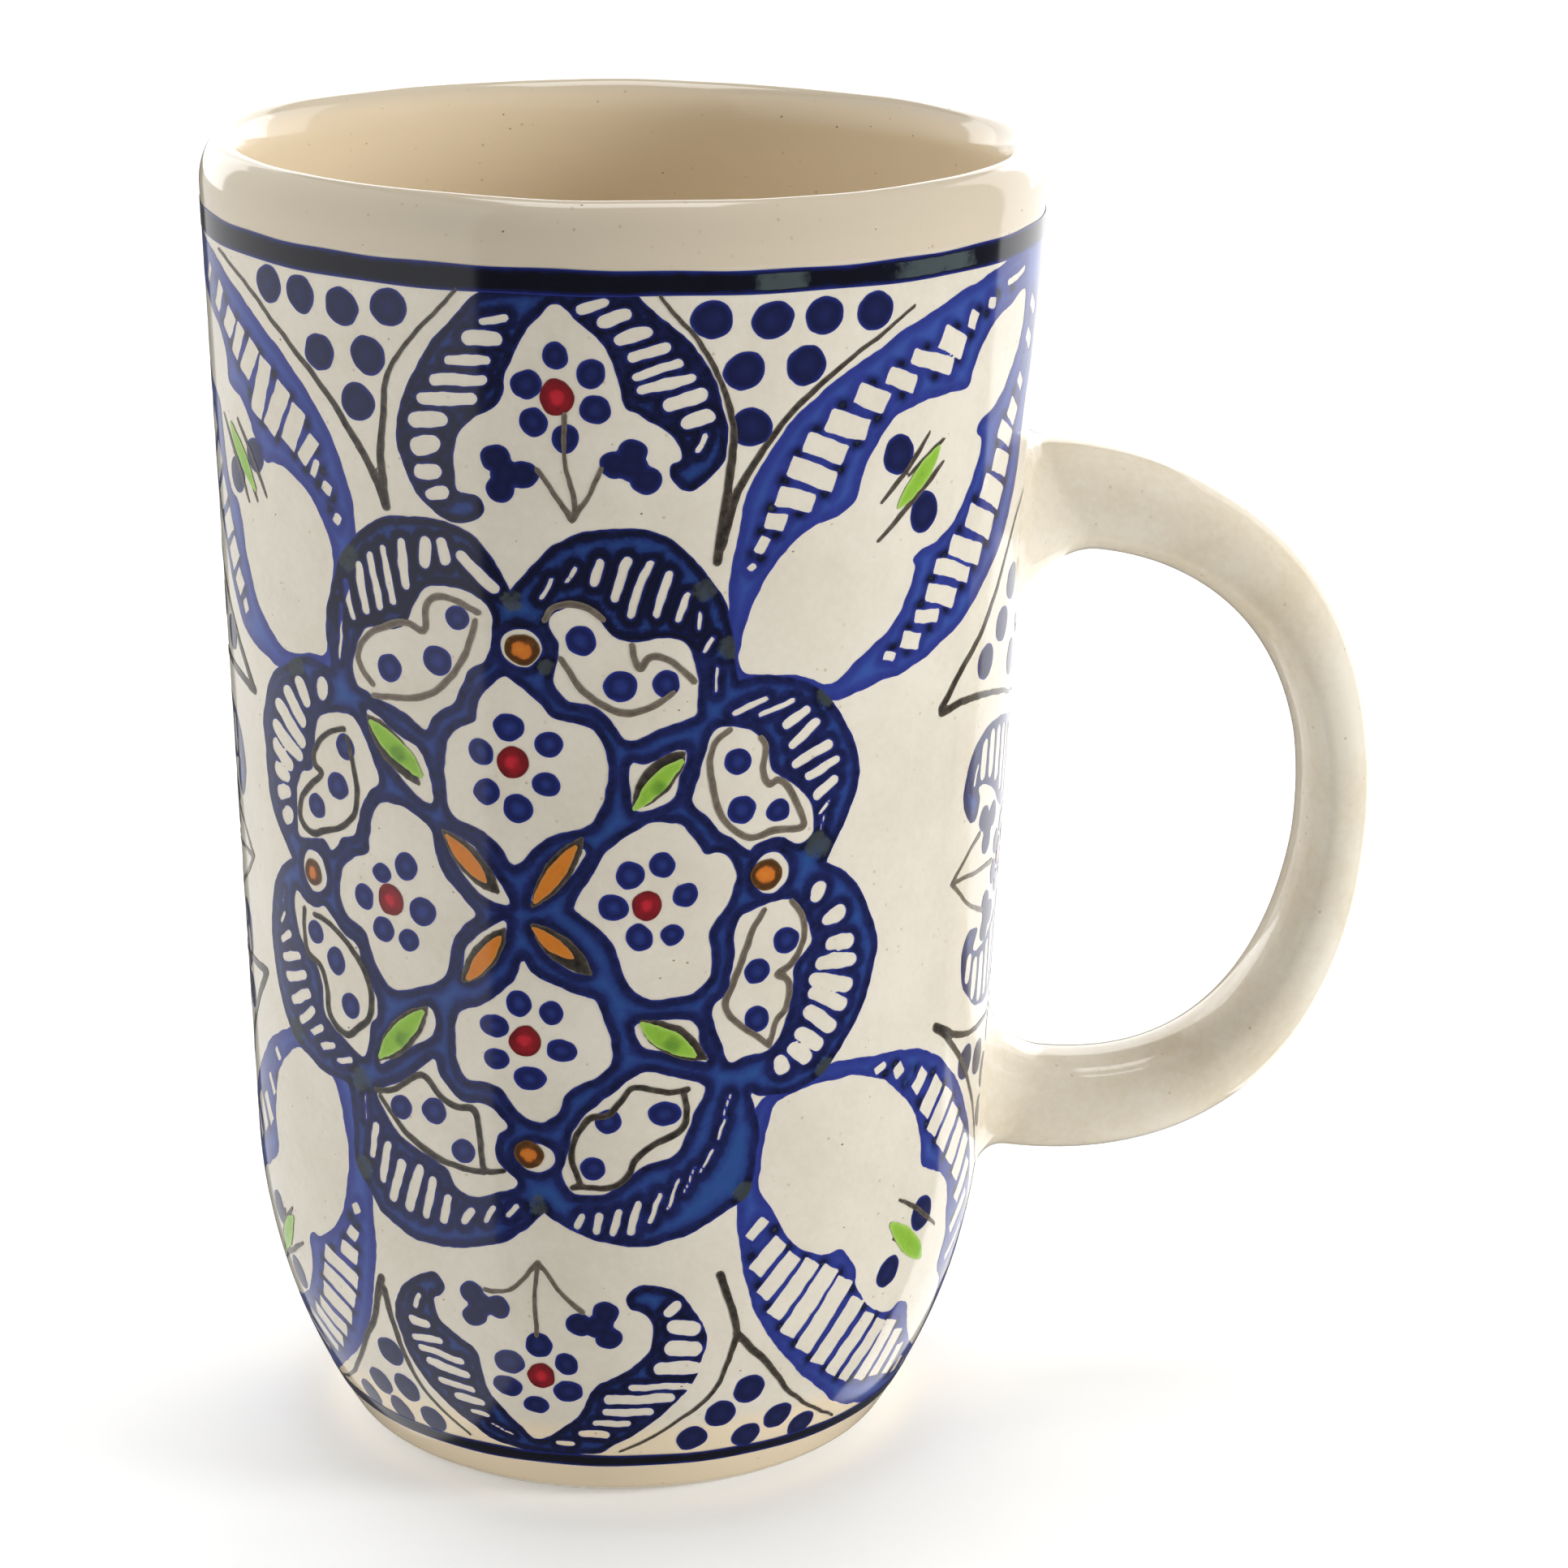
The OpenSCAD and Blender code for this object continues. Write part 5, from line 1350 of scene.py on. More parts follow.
@dataclass
class Panel:
    """One painted face of the cup: a medallion in the middle of crests and corner leaves."""

    x_span: Point = (-67.0, 77.0)
    s_span: Point = (5.0, 138.4)
    step: float = 0.3
    seed: int = 11
    rung: float = 0.72
    sheets: dict[str, Sheet] = field(default_factory=dict)

    def sheet(self, name: str, waver: float = 0.13) -> Sheet:
        """Gives the sheet of that name, and stretches it the first time."""
        if name not in self.sheets:
            self.sheets[name] = Sheet(self.x_span, self.s_span, self.step, waver, self.seed)
        return self.sheets[name]

    def gaps(self, sheet: Sheet, gaps: Sequence[tuple[float, ...]], stretch: float = 1.35,
             square: bool = False) -> None:
        """Leaves the bare gaps between the rungs of a hatched edge.

        Args:
            sheet: The sheet that the edge is on.
            gaps: Each gap's start, end and width.
            stretch: What its width is multiplied by for each close neighbour, where there is room.
            square: Whether its ends are cut square, and not left round by the brush.
        """
        ends = np.array(gaps)
        middles = (ends[:, :2] + ends[:, 2:4]) / 2
        for k, (ax, as_, bx, bs, width) in enumerate(gaps):
            way = np.array([bx - ax, bs - as_]) / max(math.hypot(bx - ax, bs - as_), 0.1) * 0.3
            for j in (k - 1, k + 1):
                if 0 <= j < len(gaps) and np.hypot(*(middles[j] - middles[k])) < 4:
                    step = middles[j] - middles[k]
                    apart = abs(way[0] * step[1] - way[1] * step[0]) / 0.3
                    room = 2 * max(apart - self.rung, 0.3) * gaps[k][4] / (gaps[k][4] + gaps[j][4])
                    width = min(width * stretch, room)
            if square:
                a, b = np.array((ax, as_)), np.array((bx, bs))
                aside = np.array([-way[1], way[0]]) / 0.6 * width
                sheet.leave(sheet.loop(np.array([a + aside, b + aside, b - aside, a - aside])))
                continue
            line = np.array([(ax, as_) - way, ((ax + bx) / 2, (as_ + bs) / 2), (bx, bs) + way])
            sheet.leave(sheet.stroke(line, [width * 0.92, width, width * 0.92]))

    def ladder(self, sheet: Sheet, outer: Path, inner: Path, count: int, rung: float = 0.8) -> None:
        """Leaves even gaps between two lines, with rungs of one width between them."""
        ends = [rounded(line, False, 8) for line in (outer, inner)]
        for k in range(count):
            middle = (k + 0.5) / count
            a, b = (line[int(middle * (len(line) - 1))] for line in ends)
            run = np.hypot(*(ends[0][-1] - ends[0][0])) * 1.25 / count
            tip = (b - a) / max(np.hypot(*(b - a)), 0.1) * min(0.5, np.hypot(*(b - a)) * 0.25)
            wide = max(run - rung, 0.5)
            line = np.array([a + tip, (a + b) / 2, b - tip])
            sheet.leave(sheet.stroke(line, [wide * 0.85, wide * 0.9, wide * 0.75]))

    def seeds(self, seeds: Sequence[tuple[float, ...]], load: float) -> None:
        """Dots cobalt seeds, each a single touch of a loaded brush."""
        sheet = self.sheet("seeds")
        for x, s, rx, *rest in seeds:
            sheet.lay(sheet.blot(x, s, rx, rest[0] if rest else rx), load)

    def heart(self, x: float, s: float, r: float) -> None:
        """Touches in a flower's red heart."""
        sheet = self.sheet("red")
        sheet.lay(sheet.blot(x, s, r * 0.95, r), 0.62)

    def leaf(self, name: str, start: Point, end: Point, width: float, load: float) -> None:
        """Presses one leaf out of the brush, pointed at both ends."""
        sheet = self.sheet(name)
        line = np.linspace(start, end, 9)
        belly = [width * math.sin(math.pi * t) ** 0.8 for t in np.linspace(0.06, 0.94, 9)]
        sheet.lay(sheet.stroke(line, belly), load)

    def pen(self, line: Path, widths: Sequence[float], load: float) -> None:
        """Draws a thin line with the manganese pen."""
        sheet = self.sheet("ink", 0.1)
        sheet.lay(sheet.stroke(rounded(line, False, 5), widths), load)

    def medallion(self) -> None:
        """Paints the scalloped medallion and leaves its fields bare."""
        sheet = self.sheet("medallion")
        edge = np.vstack([rounded(rim, False)[:-1] for rim in LOBE_RIMS])
        sheet.lay(sheet.loop(edge), 0.82)
        for flower in FLOWERS:
            sheet.leave(sheet.loop(rounded(flower.petal, True)))
            self.seeds(flower.seeds, 0.2)
            self.heart(*flower.heart)
        for kidney in KIDNEYS:
            sheet.leave(sheet.loop(rounded(kidney.field, True)))
            self.seeds(kidney.seeds, 0.3)
            for line in kidney.lines:
                self.pen(line, [0.6, 0.75, 0.6], kidney.ink)
        for place in LEAF_FIELDS:
            sheet.leave(sheet.loop(rounded(place, True)))
        self.gaps(sheet, LOBE_GAPS, 0.84)
        for outer, inner, count in LOBE_LADDERS:
            self.ladder(sheet, outer, inner, count)
        for x, s, rx, rs, dot_x, dot_s, dot_r in ORANGE_SPOTS:
            sheet.leave(sheet.blot(x, s, rx, rs))
            self.sheet("orange").lay(self.sheet("orange").blot(dot_x, dot_s, dot_r, dot_r), 1.0)
        for x in np.arange(-20, 21, 4):
            sheet.weigh(x, 109 - abs(x) * 0.15, 7.0, 1.3)
        for x, s, r in CRUSTED_SPOTS:
            sheet.weigh(x, s, r, 1.4, 0.72)

    def leaves(self) -> None:
        """Paints the orange and green leaves between the petals, each over its dark outline."""
        for start, end, width in LEAF_LINES:
            middle = ((start[0] + end[0]) / 2, (start[1] + end[1]) / 2)
            self.pen([start, middle, end], [0.35, width * 0.8, width, width * 0.8, 0.4], 0.75)
        for start, end, width in ORANGE_LEAVES:
            self.leaf("orange", start, end, width, 0.0)
        for start, end, width in GREEN_LEAVES:
            self.leaf("green", start, end, width, 0.0)
            self.sheet("green").weigh((start[0] + end[0]) / 2 + 0.3, (start[1] + end[1]) / 2 - 0.5, 1.3, 0.6)

    def crest(self, crest: Crest, load: float) -> None:
        """Paints a crest's arms, its flower, stems and buds."""
        sheet = self.sheet("border")
        sheet.lay(sheet.loop(rounded(crest.arms, True)), load)
        self.gaps(sheet, crest.gaps)
        self.seeds(crest.seeds, 0.7)
        self.heart(*crest.heart)
        for stem in crest.stems:
            self.pen(stem, [0.5, 0.45, 0.6], 0.35)
        for bud in crest.buds:
            for x, s in bud:
                self.seeds([(x, s, 1.5, 1.4)], 1.1)
            x, s = np.mean(bud, axis=0)
            self.seeds([(x, s, 1.6, 1.5)], 1.1)

    def side_crests(self) -> None:
        """Paints the crest beside the handle and its mirror image at the far edge."""
        self.crest(SIDE_CREST, 0.75)

        def across(points: Sequence[tuple[float, ...]]) -> list:
            return [(10.0 - x, s, *rest) for x, s, *rest in points]

        gaps = [(10.0 - ax, as_, 10.0 - bx, bs, w) for ax, as_, bx, bs, w in SIDE_CREST.gaps]
        x, s, r = SIDE_CREST.heart
        self.crest(Crest(across(SIDE_CREST.arms), gaps, across(SIDE_CREST.seeds), (10.0 - x, s, r),
                         [across(stem) for stem in SIDE_CREST.stems],
                         [across(bud) for bud in SIDE_CREST.buds]), 0.75)

    def corner_leaf(self, leaf: CornerLeaf) -> None:
        """Paints a corner leaf with its hatched edges, bud and seeds."""
        sheet = self.sheet("border")
        sheet.lay(sheet.loop(rounded(leaf.outline, True)), 0.12)
        sheet.leave(sheet.loop(rounded(leaf.field, True)))
        self.gaps(sheet, leaf.gaps, square=True)
        for k, (ax, as_, bx, bs, _) in enumerate(leaf.gaps[:-1]):
            cx, cs, dx, ds, _ = leaf.gaps[k + 1]
            if math.hypot(cx - ax, cs - as_) < 6:
                for x, s in (((ax + cx) / 2, (as_ + cs) / 2), ((bx + dx) / 2, (bs + ds) / 2)):
                    sheet.weigh(x, s, 1.3, 0.62)
                    sheet.weigh(x, s, 0.65, 1.1, 0.5)
        start, end, width = leaf.bud
        self.leaf("green", start, end, width, 0.0)
        for a, b in leaf.bud_lines:
            middle = ((a[0] + b[0]) / 2 + 0.3, (a[1] + b[1]) / 2 + 0.2)
            self.pen([a, middle, b], [0.3, 0.6, 0.65, 0.3], 0.7)
        self.seeds(leaf.seeds, 0.95)

    def work(self) -> None:
        """Paints the whole panel."""
        for leaf in CORNER_LEAVES:
            self.corner_leaf(leaf)
        for crest in CRESTS:
            self.crest(crest, 0.95)
        self.side_crests()
        self.medallion()
        self.leaves()
        self.seeds([(x, s, 2.05, 1.95) for x, s in CORNER_SEEDS], 1.0)
        for line in THIN_LINES:
            self.pen(line, [0.35, 0.5, 0.75, 0.95], 0.8)


@dataclass(frozen=True)
class Side:
    """Which way round a panel lies on the cup, where it starts, and how much it is drawn in."""

    name: str
    start: float
    draw_in: float


@dataclass
class Brushwork:
    """All the painting, laid round the cup in films a few hundredths of a millimetre off its surface."""

    outline: CupOutline
    wrap: bpy.types.NodeTree
    reference_r: float = 42.0
    start_degrees: float = -107.5
    band_rim: Point = (136.35, 138.95)
    band_foot: Point = (5.7, 7.7)
    band_step: float = 0.4
    rise: float = 1.6

    def __post_init__(self) -> None:
        """Makes the line that the films follow up the cup."""
        self.guide = outline_curve("cup_side", self.outline.outside(fine=8))

    @property
    def round_trip(self) -> float:
        """Distance once round the cup at the reference radius."""
        return 2 * math.pi * self.reference_r

    def film(self, name: str, flat: np.ndarray, triangles: np.ndarray, values: dict[str, np.ndarray],
             paint: bpy.types.Material, stand_off: float) -> bpy.types.Object:
        """Wraps flat paint round the cup.

        Args:
            name: The piece's name.
            flat: Its points, as x and s.
            triangles: Its triangles.
            values: The edge, load and crust of each point.
            paint: Its material.
            stand_off: How far it lies off the surface.

        Returns:
            The piece.
        """
        points = np.column_stack([flat[:, 0], flat[:, 1] + self.rise, np.zeros(len(flat))])
        piece = mesh_piece(name, points, triangles)
        for label, numbers in values.items():
            layer = piece.data.attributes.new(label, "FLOAT", "POINT")
            layer.data.foreach_set("value", numbers.astype(np.float32))
        return apply_tree(piece, self.wrap, {
            "Outline": self.guide, "Reference radius": self.reference_r * MM,
            "Start angle": math.radians(self.start_degrees), "Stand off": stand_off * MM, "Finish": paint})

    def lay_panel(self, panel: Panel, side: Side, paints: dict[Paint, bpy.types.Material]) -> None:
        """Lays one panel's films on one side of the cup."""
        pots = {"border": (Paint.COBALT, 0.02), "medallion": (Paint.COBALT, 0.04),
                "seeds": (Paint.DARK_COBALT, 0.03), "ink": (Paint.INK, 0.06),
                "orange": (Paint.ORANGE, 0.08), "green": (Paint.GREEN, 0.08), "red": (Paint.RED, 0.05)}
        for name, sheet in panel.sheets.items():
            flat, triangles, values = sheet.peel()
            if side.draw_in != 1.0:
                x = side.start + (panel.x_span[1] - flat[:, 0]) * side.draw_in
                flat = np.column_stack([x, flat[:, 1]])
                triangles = triangles[:, ::-1]
            pot, off = pots[name]
            piece = self.film(f"{side.name}_{name}", flat, triangles, values, paints[pot], off)
            settle(piece, "cobalt_pigment")

    def band(self, name: str, node: str, span: Point, paint: bpy.types.Material,
             crusts: Sequence[Point]) -> None:
        """Lays a band round the cup, as the brush leaves it while the cup turns on the wheel.

        Args:
            name: The piece's name.
            node: The CAD node that it stands for.
            span: Its lower and upper edge, as s.
            paint: Its material.
            crusts: Stretches of x where the pigment crusted.
        """
        columns = int(self.round_trip / self.band_step)
        turn = np.arange(columns) / columns * 2 * math.pi
        low = span[0] + 0.13 * np.sin(turn + 1.2) + 0.08 * np.sin(4 * turn) + 0.05 * np.sin(17 * turn + 2)
        high = span[1] + 0.12 * np.sin(turn + 2.6) + 0.08 * np.sin(5 * turn + 1) + 0.05 * np.sin(23 * turn)
        rows = np.array([0, 0.05, 0.1, 0.2, 0.35, 0.5, 0.65, 0.8, 0.9, 0.95, 1])[:, None]
        s = low + (high - low) * rows
        x = np.broadcast_to(turn * self.reference_r, s.shape)
        edge = np.minimum(rows, 1 - rows) * (high - low)
        crust = np.zeros(s.shape)
        for start, end in crusts:
            middle, half = (start + end) / 2 % self.round_trip, (end - start) / 2
            crust = np.maximum(crust, np.clip(1.3 - np.abs(x - middle) / half, 0, 0.8) * (edge > 0.3))
        number = np.arange(s.size).reshape(s.shape)
        right = np.roll(number, -1, axis=1)
        faces = np.stack([number[:-1], right[:-1], right[1:], number[1:]], -1).reshape(-1, 4)
        flat = np.column_stack([x.ravel(), s.ravel()])
        values = {"edge": edge.ravel(), "load": np.full(s.size, 0.9), "crust": crust.ravel()}
        piece = self.film(name, flat, faces, values, paint, 0.06)
        settle(piece, "cobalt_pigment", node)

    def build(self, sides: Sequence[Side]) -> None:
        """Paints the panels and the bands."""
        paints = {pot: pot.value.material() for pot in Paint}
        panel = Panel()
        panel.work()
        for side in sides:
            self.lay_panel(panel, side, paints)
        banding = paints[Paint.COBALT_BAND]
        self.band("rim_brush_band", "rim_band", self.band_rim, banding, [(21, 28), (35, 49)])
        self.band("foot_brush_band", "foot_band", self.band_foot, banding, [])
        bpy.data.objects.remove(self.guide)


# ---------------------------------------------------------------- the cup and its handle

@dataclass
class ThrownCup:
    """The cup as it comes off the wheel, and the coat of glaze over it."""

    outline: CupOutline
    clay: bpy.types.Material
    glaze: bpy.types.Material
    sides: int = 240
    lip_waver: float = 0.9

    def turn(self, name: str, section: np.ndarray, finish: bpy.types.Material,
             tree: bpy.types.NodeTree) -> bpy.types.Object:
        """Turns a closed section into a piece with its faces outwards.

        Args:
            name: The piece's name.
            section: Radius and height of each point.
            finish: Its material.
            tree: The throwing tree.

        Returns:
            The piece.
        """
        guide = outline_curve(name + "_section", section)
        piece = mesh_piece(name, np.zeros((1, 3)), np.zeros((0, 3), int))
        apply_tree(piece, tree, {
            "Outline": guide, "Rings": len(section), "Sides": self.sides, "Waver": self.lip_waver * MM,
            "Waver from": (self.outline.flank_top - 1.0) * MM, "Waver to": self.outline.height * MM,
            "Finish": finish})
        bpy.data.objects.remove(guide)
        mesh = piece.data
        mesh.calc_loop_triangles()
        corners = np.array([[mesh.vertices[i].co[:] for i in t.vertices] for t in mesh.loop_triangles])
        if np.einsum("ij,ij->i", corners[:, 0], np.cross(corners[:, 1], corners[:, 2])).sum() < 0:
            mesh.flip_normals()
        mark_hard_edges(piece, 50)
        return piece

    def build(self) -> bpy.types.Object:
        """Turns the clay and the glaze coat.

        Returns:
            The glaze coat, for the specks to lie on.
        """
        tree = throwing_tree()
        body = self.turn("thrown_clay", self.outline.clay_section(), self.clay, tree)
        settle(body, "stoneware_clay", "cup_body")
        section = self.outline.glaze_section()
        coat = self.turn("glaze_coat", np.vstack([section, section[:1]]), self.glaze, tree)
        settle(coat, "clear_glaze", "outer_glaze", "inner_glaze")
        return coat


@dataclass
class PulledHandle:
    """The handle: a strap pulled from a lump of clay, bent to a loop and smoothed on with slip."""

    outline: CupOutline
    finish: bpy.types.Material
    top_z: float = 103.7
    top_rise: float = 0.15
    low_z: float = 35.3
    low_fall: float = 0.28
    reach: float = 79.9
    out_z: float = 68.5
    thickness: tuple[float, float, float] = (12.6, 7.8, 11.4)
    width: tuple[float, float, float] = (14.5, 12.6, 13.4)
    pulls: tuple[float, float, float, float] = (17.0, 28.0, 18.0, 32.0)
    top_slip: tuple[float, float] = (2.6, 9.0)
    low_slip: tuple[float, float] = (7.5, 3.4)
    slip_shares: tuple[float, float] = (0.17, 0.9)
    taper_share: float = 0.9
    slip_rings: int = 34
    strap_rings: int = 60
    crease: float = 0.75
    crease_turn: float = 3.85
    crease_drift: float = 0.03
    crease_width: float = 0.14
    crease_middle: float = 2.5
    crease_run: float = 4.5
    sink: float = 2.0
    power: float = 2.3
    sides: int = 64

    def centre_line(self, t: np.ndarray, upper: bool) -> tuple[np.ndarray, np.ndarray]:
        """Points and directions along one of the handle's two curves.

        Args:
            t: Shares of the curve, from 0 at its start to 1 at its end.
            upper: Whether it is the curve from the upper root to the outermost point.

        Returns:
            The points and the unit directions, each as x and z.
        """
        out = np.array([self.reach, self.out_z])
        pull_top, pull_up, pull_down, pull_low = self.pulls
        if upper:
            root = np.array([self.outline.radius(self.top_z) - self.sink, self.top_z])
            c = [root, root + pull_top * np.array([1, self.top_rise]), out + [0, pull_up], out]
        else:
            root = np.array([self.outline.radius(self.low_z) - self.sink, self.low_z])
            c = [out, out - [0, pull_down], root + pull_low * np.array([1, -self.low_fall]), root]
        t = t[:, None]
        place = ((1 - t) ** 3 * c[0] + 3 * (1 - t) ** 2 * t * c[1] + 3 * (1 - t) * t ** 2 * c[2]
                 + t ** 3 * c[3])
        slope = (1 - t) ** 2 * (c[1] - c[0]) + 2 * (1 - t) * t * (c[2] - c[1]) + t ** 2 * (c[3] - c[2])
        return place, slope / np.hypot(slope[:, 0], slope[:, 1])[:, None]

    def rings(self, t: np.ndarray, upper: bool) -> np.ndarray:
        """Rings of points round the strap, flared where the slip was smoothed on to the cup.

        Args:
            t: Shares of the curve at which the rings stand.
            upper: Whether it is the upper curve.

        Returns:
            An array of rings, points and coordinates.
        """
        place, way = self.centre_line(t, upper)
        eased = np.minimum(1, (t if upper else 1 - t) / self.taper_share)
        end = 0 if upper else 2
        thick = (self.thickness[end] + (self.thickness[1] - self.thickness[end]) * eased) / 2
        wide = (self.width[end] + (self.width[1] - self.width[end]) * eased) / 2
        turn = np.linspace(0, 2 * math.pi, self.sides, endpoint=False)
        cos, sin = (np.sign(v) * np.abs(v) ** (2 / self.power) for v in (np.cos(turn), np.sin(turn)))
        over = np.column_stack([-way[:, 1], way[:, 0]])

        def ring(extra: np.ndarray) -> np.ndarray:
            across = (wide[:, None] + extra) * cos
            up = (thick[:, None] + extra) * sin
            return np.stack([place[:, None, 0] + up * over[:, None, 0], across,
                             place[:, None, 1] + up * over[:, None, 1]], -1)

        def stand_off(points: np.ndarray) -> np.ndarray:
            """Measures how far points are from the cup's wall."""
            wall = np.vectorize(self.outline.radius)(points[..., 2])
            return np.hypot(points[..., 0], points[..., 1]) - wall

        bare = ring(np.zeros((len(t), self.sides)))
        far = stand_off(bare)
        over_r, under_r = self.top_slip if upper else self.low_slip
        lift = np.sin(turn) if upper else -np.sin(turn)
        share = (1 + lift) / 2
        slip = under_r + (over_r - under_r) * share * share * (3 - 2 * share)
        away = np.clip(far, 0, slip)
        growth = slip - np.sqrt(slip ** 2 - (slip - away) ** 2)
        if not upper:
            across = (turn - self.crease_turn - self.crease_drift * far) / self.crease_width
            along = (far - self.crease_middle) / self.crease_run
            growth -= self.crease * np.exp(-across ** 2 - along ** 2)
        flared = ring(growth)
        inward = (stand_off(flared) - far) / np.hypot(flared[..., 0], flared[..., 1])
        flared[..., :2] *= (1 - inward)[..., None]
        return flared

    def skin(self, name: str, rings: np.ndarray) -> bpy.types.Object:
        """Closes a run of rings into a piece with capped ends."""
        count, sides = rings.shape[:2]
        number = np.arange(count * sides).reshape(count, sides)
        beside = np.roll(number, -1, axis=1)
        faces = np.stack([number[:-1], number[1:], beside[1:], beside[:-1]], -1).reshape(-1, 4).tolist()
        faces += [number[0].tolist(), number[-1][::-1].tolist()]
        piece = mesh_piece(name, rings.reshape(-1, 3), faces)
        mark_hard_edges(piece, 50)
        piece.data.materials.append(self.finish)
        return piece

    def build(self) -> None:
        """Makes the strap and its two slip joints, which meet ring to ring."""
        top_end, low_start = self.slip_shares
        upper = self.rings(np.linspace(0, top_end, self.slip_rings), True)
        lower = self.rings(np.linspace(low_start, 1, self.slip_rings), False)
        settle(self.skin("upper_slip", upper), "glazed_slip", "upper_slip_joint")
        settle(self.skin("lower_slip", lower), "glazed_slip", "lower_slip_joint")
        strap = np.vstack([
            self.rings(np.linspace(top_end, 1, self.strap_rings), True),
            self.rings(np.linspace(0, low_start, self.strap_rings)[1:], False)])
        settle(self.skin("pulled_strap", strap), "glazed_handle", "handle")


@dataclass
class IronSpecks:
    """Iron grains in the clay that burnt through the glaze as small brown specks."""

    density: float = 9000.0
    smallest: float = 0.05
    largest: float = 0.16
    seed: int = 5

    def finish(self) -> bpy.types.Material:
        """Dull red-brown iron oxide, melted into the glaze."""
        made, tree, shader, spot = new_finish("iron_oxide_speck")
        colour = colour_steps(tree, noise(tree, spot, 3.0, 2.0), [(0.4, "8a6a48"), (0.6, "b59a74")])
        tree.links.new(colour, shader.inputs["Base Color"])
        shader.inputs["Roughness"].default_value = 0.3
        return made

    def build(self, coat: bpy.types.Object) -> None:
        """Scatters the specks over the glaze coat."""
        piece = stand("iron_specks", coat.data.copy())
        apply_tree(piece, speckling_tree(), {
            "Density": self.density, "Smallest": self.smallest * MM, "Largest": self.largest * MM,
            "Seed": self.seed, "Finish": self.finish()})
        piece.data.shade_smooth()
        settle(piece, "stoneware_clay")


# ---------------------------------------------------------------- the studio

@dataclass(frozen=True)
class Lamp:
    """A soft rectangular lamp: where it stands, what it faces, its size and its brightness."""

    name: str
    place: tuple[float, float, float]
    aim: tuple[float, float, float]
    size: tuple[float, float]
    glow: float
    shows_in_gloss: bool = True

    def build(self) -> None:
        """Hangs the lamp."""
        light = bpy.data.lights.new(self.name, "AREA")
        light.shape = "RECTANGLE"
        light.size, light.size_y = self.size
        light.energy = self.glow * math.pi * self.size[0] * self.size[1]
        lamp = stand(self.name, light)
        way = Vector(self.aim) - Vector(self.place)
        lamp.rotation_euler = way.to_track_quat("-Z", "Y").to_euler()
        lamp.location = self.place
        lamp.visible_camera = False
        lamp.visible_glossy = self.shows_in_gloss


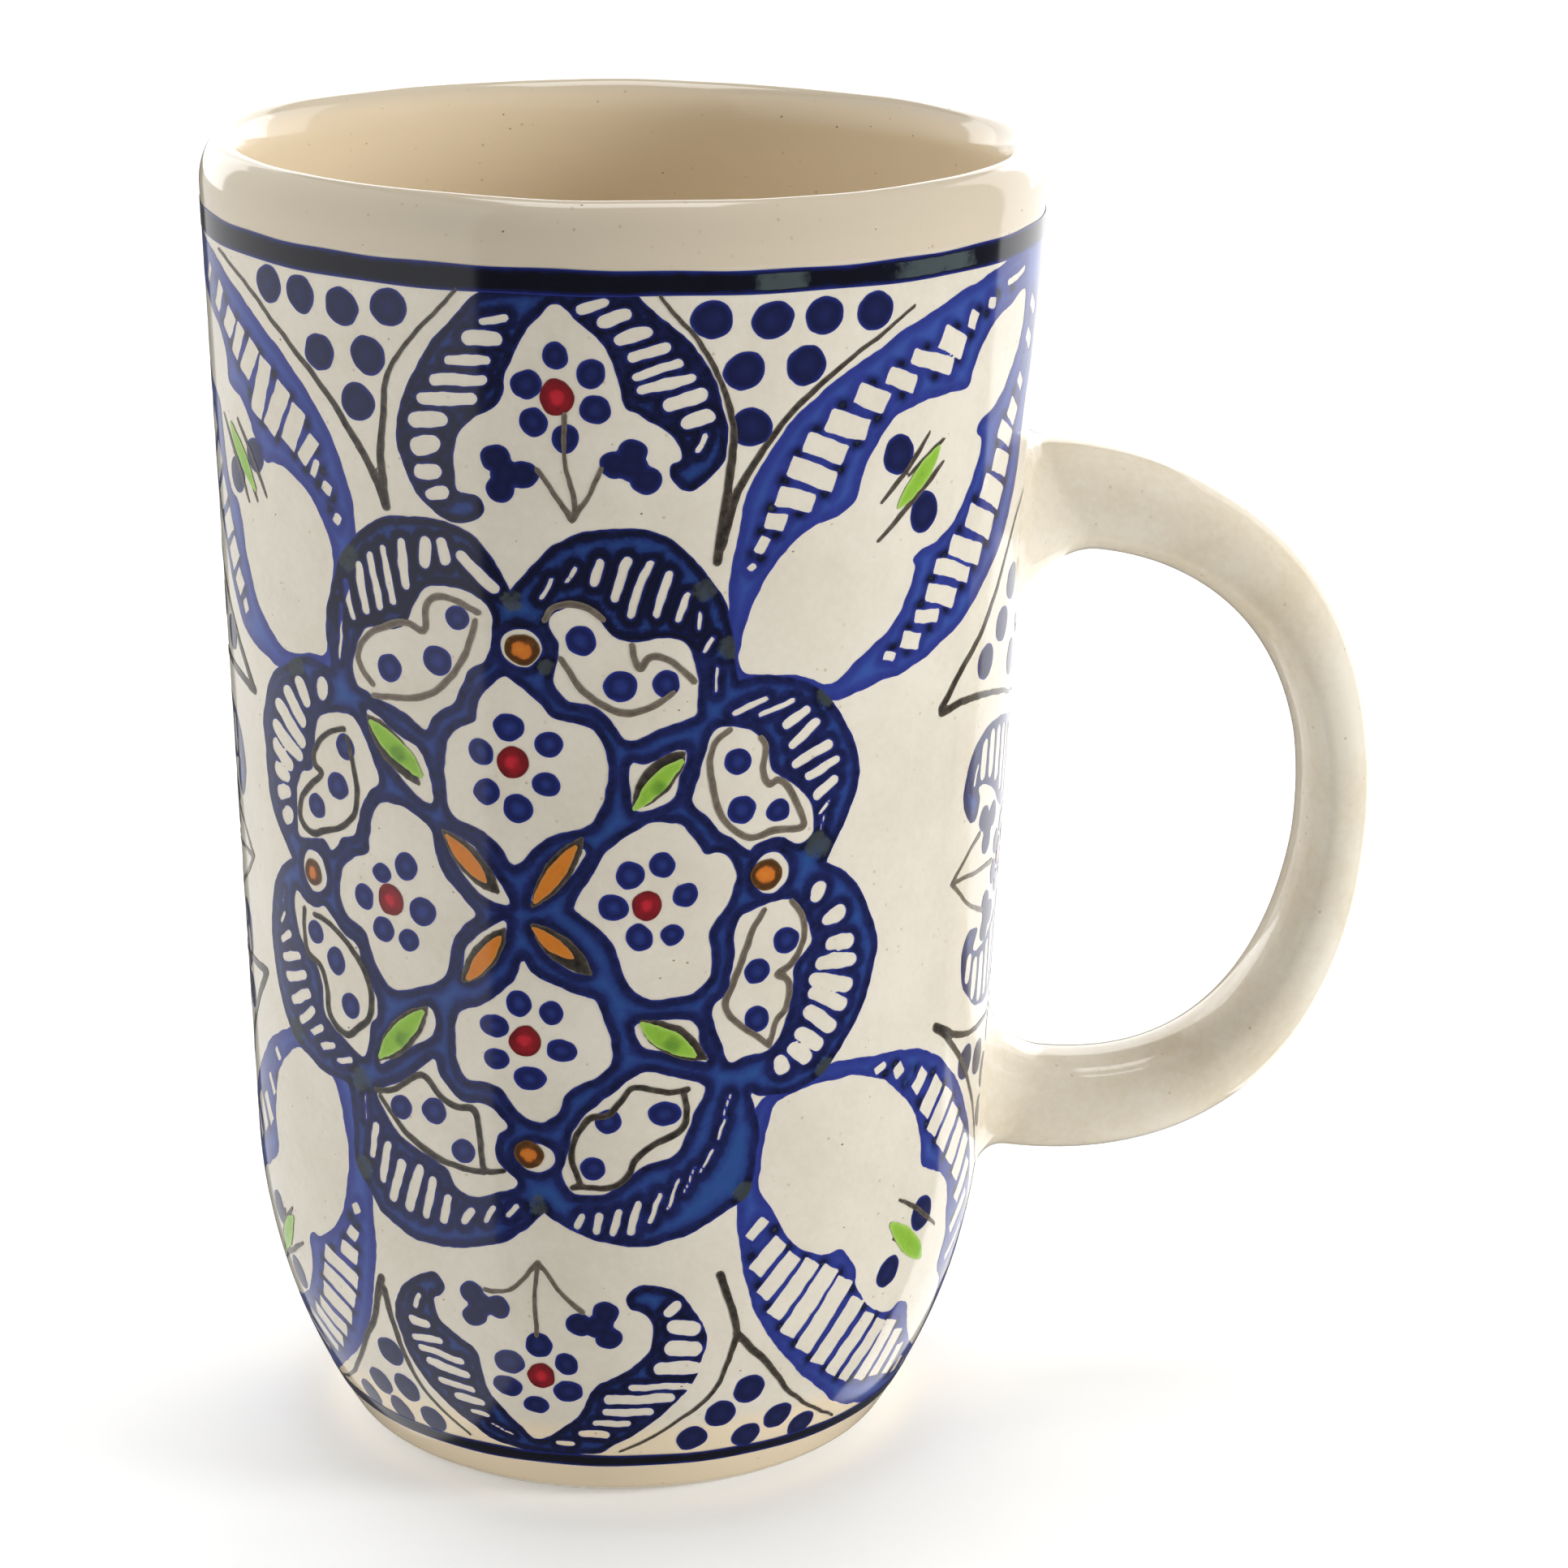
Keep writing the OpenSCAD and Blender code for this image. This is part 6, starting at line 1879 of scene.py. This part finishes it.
@dataclass(frozen=True)
class Studio:
    """A pale table, soft lamps and the camera."""

    distance: float = 0.4442
    height: float = 0.2096
    lens: float = 96.886
    yaw: float = 2.300
    pitch: float = 17.254
    roll: float = 0.904
    swing: float = -4.0
    lamps: Sequence[Lamp] = (
        Lamp("left_soft_box", (-0.45, 0.36, 0.05), (0.0, 0.36, 0.05), (1.7, 1.7), 0.74),
        Lamp("right_panel", (0.62, 1.29, -0.05), (0.0, 1.29, -0.05), (2.0, 1.5), 1.4),
        Lamp("right_key", (1.15, -0.42, 0.40), (0.0, 0.0, 0.08), (0.35, 0.35), 24.5, False),
        Lamp("overhead", (0.0, 0.10, 0.95), (0.0, 0.0, 0.0), (0.45, 0.45), 4.5),
        Lamp("backdrop", (0.0, 1.7, 0.55), (0.0, 0.0, 0.55), (3.0, 1.1), 1.9),
        Lamp("sky", (0.0, 0.8, 2.2), (0.0, 0.8, 0.0), (5.0, 5.0), 0.3, False),
    )

    def camera(self) -> None:
        """Stands the camera in front of the mug, a little above its rim."""
        yaw, pitch, roll = (math.radians(a) for a in (self.yaw, self.pitch, self.roll))
        ahead = Vector((math.sin(yaw) * math.cos(pitch), math.cos(yaw) * math.cos(pitch), -math.sin(pitch)))
        right = Vector((math.cos(yaw), -math.sin(yaw), 0))
        up = right.cross(ahead)
        leaned = Matrix((math.cos(roll) * right + math.sin(roll) * up,
                         math.cos(roll) * up - math.sin(roll) * right, -ahead)).transposed().to_4x4()
        leaned.translation = (0, -self.distance, self.height)
        lens = bpy.data.cameras.new("camera")
        lens.lens = self.lens
        lens.sensor_width = 36.0
        lens.clip_start = 0.01
        view = stand("camera", lens)
        view.matrix_world = Matrix.Rotation(math.radians(self.swing), 4, "Z") @ leaned
        bpy.context.scene.camera = view

    def table(self) -> None:
        """Lays a wide pale table top under the mug."""
        half = 4.0
        mesh = bpy.data.meshes.new("table_top")
        mesh.from_pydata([(-half, -half, 0), (half, -half, 0), (half, half, 0), (-half, half, 0)], [],
                         [(0, 1, 2, 3)])
        top = stand("table_top", mesh)
        paper, tree, shader, spot = new_finish("white_paper_sweep")
        tone = colour_steps(tree, noise(tree, spot, 25.0, 3.0), [(0.4, "f4f4f3"), (0.6, "f7f7f6")])
        tree.links.new(tone, shader.inputs["Base Color"])
        shader.inputs["Roughness"].default_value = 0.9
        shader.inputs["Emission Color"].default_value = linear("f7f7f6")
        shader.inputs["Emission Strength"].default_value = 0.24
        mesh.materials.append(paper)
        top.visible_glossy = False

    def build(self) -> None:
        """Sets the whole studio up."""
        scene = bpy.context.scene
        scene.view_settings.view_transform = "Standard"
        world = bpy.data.worlds.new("studio_air")
        world.use_nodes = True
        air = world.node_tree.nodes["Background"]
        air.inputs["Color"].default_value = (1, 1, 1, 1)
        air.inputs["Strength"].default_value = 0.1
        scene.world = world
        for lamp in self.lamps:
            lamp.build()
        self.table()
        self.camera()


def main() -> None:
    """Builds the mug piece by piece and reports each."""
    logging.basicConfig(level=logging.INFO, format="%(name)s: %(message)s")
    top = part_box("outer_glaze")[1]
    outline = CupOutline(height=top.z / MM)
    glaze = StonewareGlaze().material()
    coat = ThrownCup(outline, BareClay().material(), glaze).build()
    # the handle's painted lip shade colour is its own glaze colour, so it takes no painted shade
    bare = StonewareGlaze("clear_glaze_on_bare_clay", thin="ece4d3", pooled="dfd2ba", lip_shade_colour="ece4d3")
    PulledHandle(outline, bare.material()).build()
    Brushwork(outline, wrapping_tree()).build([
        Side("front", 0.0, 1.0),
        Side("back", 77.0, 0.8326)])
    IronSpecks().build(coat)
    Studio().build()


if __name__ == "__main__":
    main()
